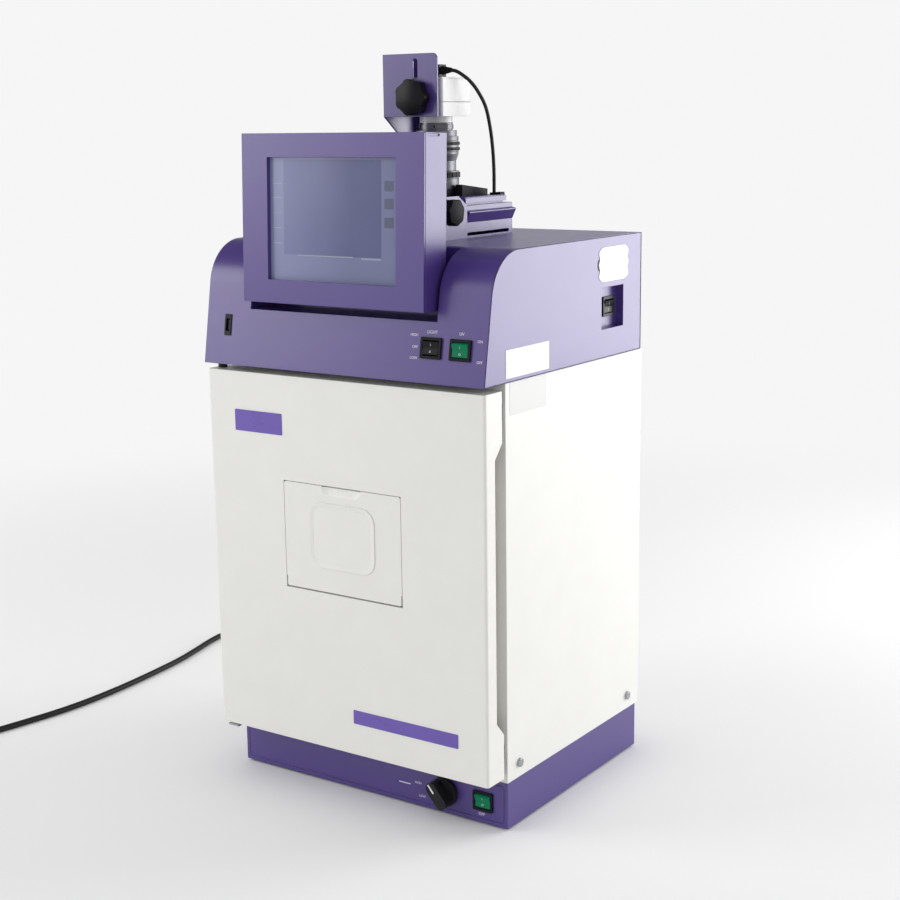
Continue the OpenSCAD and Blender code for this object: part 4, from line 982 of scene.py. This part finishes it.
def floor_paint():
    """White paint near the object that turns into the room's white further off."""
    paint = bpy.data.materials.new("floor_white")
    paint.use_nodes = True
    tree = paint.node_tree
    shader = tree.nodes["Principled BSDF"]
    shader.inputs["Base Color"].default_value = FLOOR_WHITE
    shader.inputs["Roughness"].default_value = 0.8
    place = tree.nodes.new("ShaderNodeTexCoord").outputs["Object"]
    away = add_node(tree, "ShaderNodeVectorMath", {0: place}, operation="LENGTH")
    far = smooth_step(tree, away.outputs["Value"], FLOOR_NEAR, FLOOR_FAR)
    blend = calculated(tree, "MULTIPLY", far, seen_rays(tree))
    glow = add_node(tree, "ShaderNodeEmission", {"Color": WHITE, "Strength": ROOM_WHITE})
    mix = add_node(tree, "ShaderNodeMixShader", {0: blend, 1: shader.outputs[0],
                                                 2: glow.outputs[0]})
    tree.links.new(mix.outputs[0], tree.nodes["Material Output"].inputs["Surface"])
    return paint


floor_shape = bmesh.new()
bmesh.ops.create_grid(floor_shape, x_segments=1, y_segments=1, size=FLOOR_SIZE)
floor = add_piece("floor", save_mesh(floor_shape, "floor"))
wear(floor, floor_paint())
floor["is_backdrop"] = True

world = bpy.data.worlds.new("room")
bpy.context.scene.world = world
world.use_nodes = True
room = world.node_tree
background = room.nodes["Background"]
background.inputs["Color"].default_value = WHITE
strength = add_node(room, "ShaderNodeMix", {"Factor": seen_rays(room), "A": ROOM_LIGHT,
                                            "B": ROOM_WHITE})
print("room white", ROOM_WHITE, "and its light", ROOM_LIGHT)

# %% [markdown]
# A studio is bright around the table and darker overhead. Only reflections need that: where a
# glossy ray climbs, the room fades to the ceiling's grey, and the rounded brow of the housing
# turns deep violet.

# %% The ceiling in reflections
CLIMB_LOW, CLIMB_HIGH = 0.08, 0.5
direction = room.nodes.new("ShaderNodeTexCoord").outputs["Generated"]
climb = add_node(room, "ShaderNodeSeparateXYZ", {0: direction}).outputs["Z"]
overhead = smooth_step(room, climb, CLIMB_LOW, CLIMB_HIGH)
glossy = room.nodes.new("ShaderNodeLightPath").outputs["Is Glossy Ray"]
mirrored = calculated(room, "MULTIPLY", overhead, glossy)
ceiling = add_node(room, "ShaderNodeMix", {"Factor": mirrored, "A": strength.outputs["Result"],
                                           "B": CEILING})
room.links.new(ceiling.outputs["Result"], background.inputs["Strength"])
print("ceiling in reflections", CEILING)

# %% [markdown]
# Two broad soft lamps do the rest. One stands front left and makes the front lighter towards
# that side. The other stands low behind on the right, just where the right-hand wall mirrors it
# towards the camera, so the satin coat of that wall washes out to a pale lavender.

# %% Lamps


def softbox(name, place, towards, width, height, power):
    """A flat rectangular lamp that faces a point."""
    lamp = bpy.data.lights.new(name, "AREA")
    lamp.shape = "RECTANGLE"
    lamp.size = width
    lamp.size_y = height
    lamp.energy = power
    piece = add_piece(name, lamp)
    piece.visible_camera = False
    aim = (Vector(towards) - Vector(place)).to_track_quat("-Z", "Y")
    piece.matrix_world = Matrix.Translation(place) @ aim.to_matrix().to_4x4()
    print(name, "gives", power, "W")


softbox("left_light", (-1.8, -1.5, 1.2), (0, -0.15, 0.35), width=1.3, height=1.3, power=20)
softbox("right_rear_light", (1.3, 1.6, 0.66), (0.18, 0.02, 0.42), width=1.4, height=1.25,
        power=29)

# %% [markdown]
# The boxes round the frame and round the dressed instrument are written down side by side, since
# the finished piece has to stay within the frame's size.

# %% Sizes of the frame and of the dressed instrument, and the end
size = {"frame": [list(c) for c in frame_box], "visual": [list(c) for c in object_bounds()]}
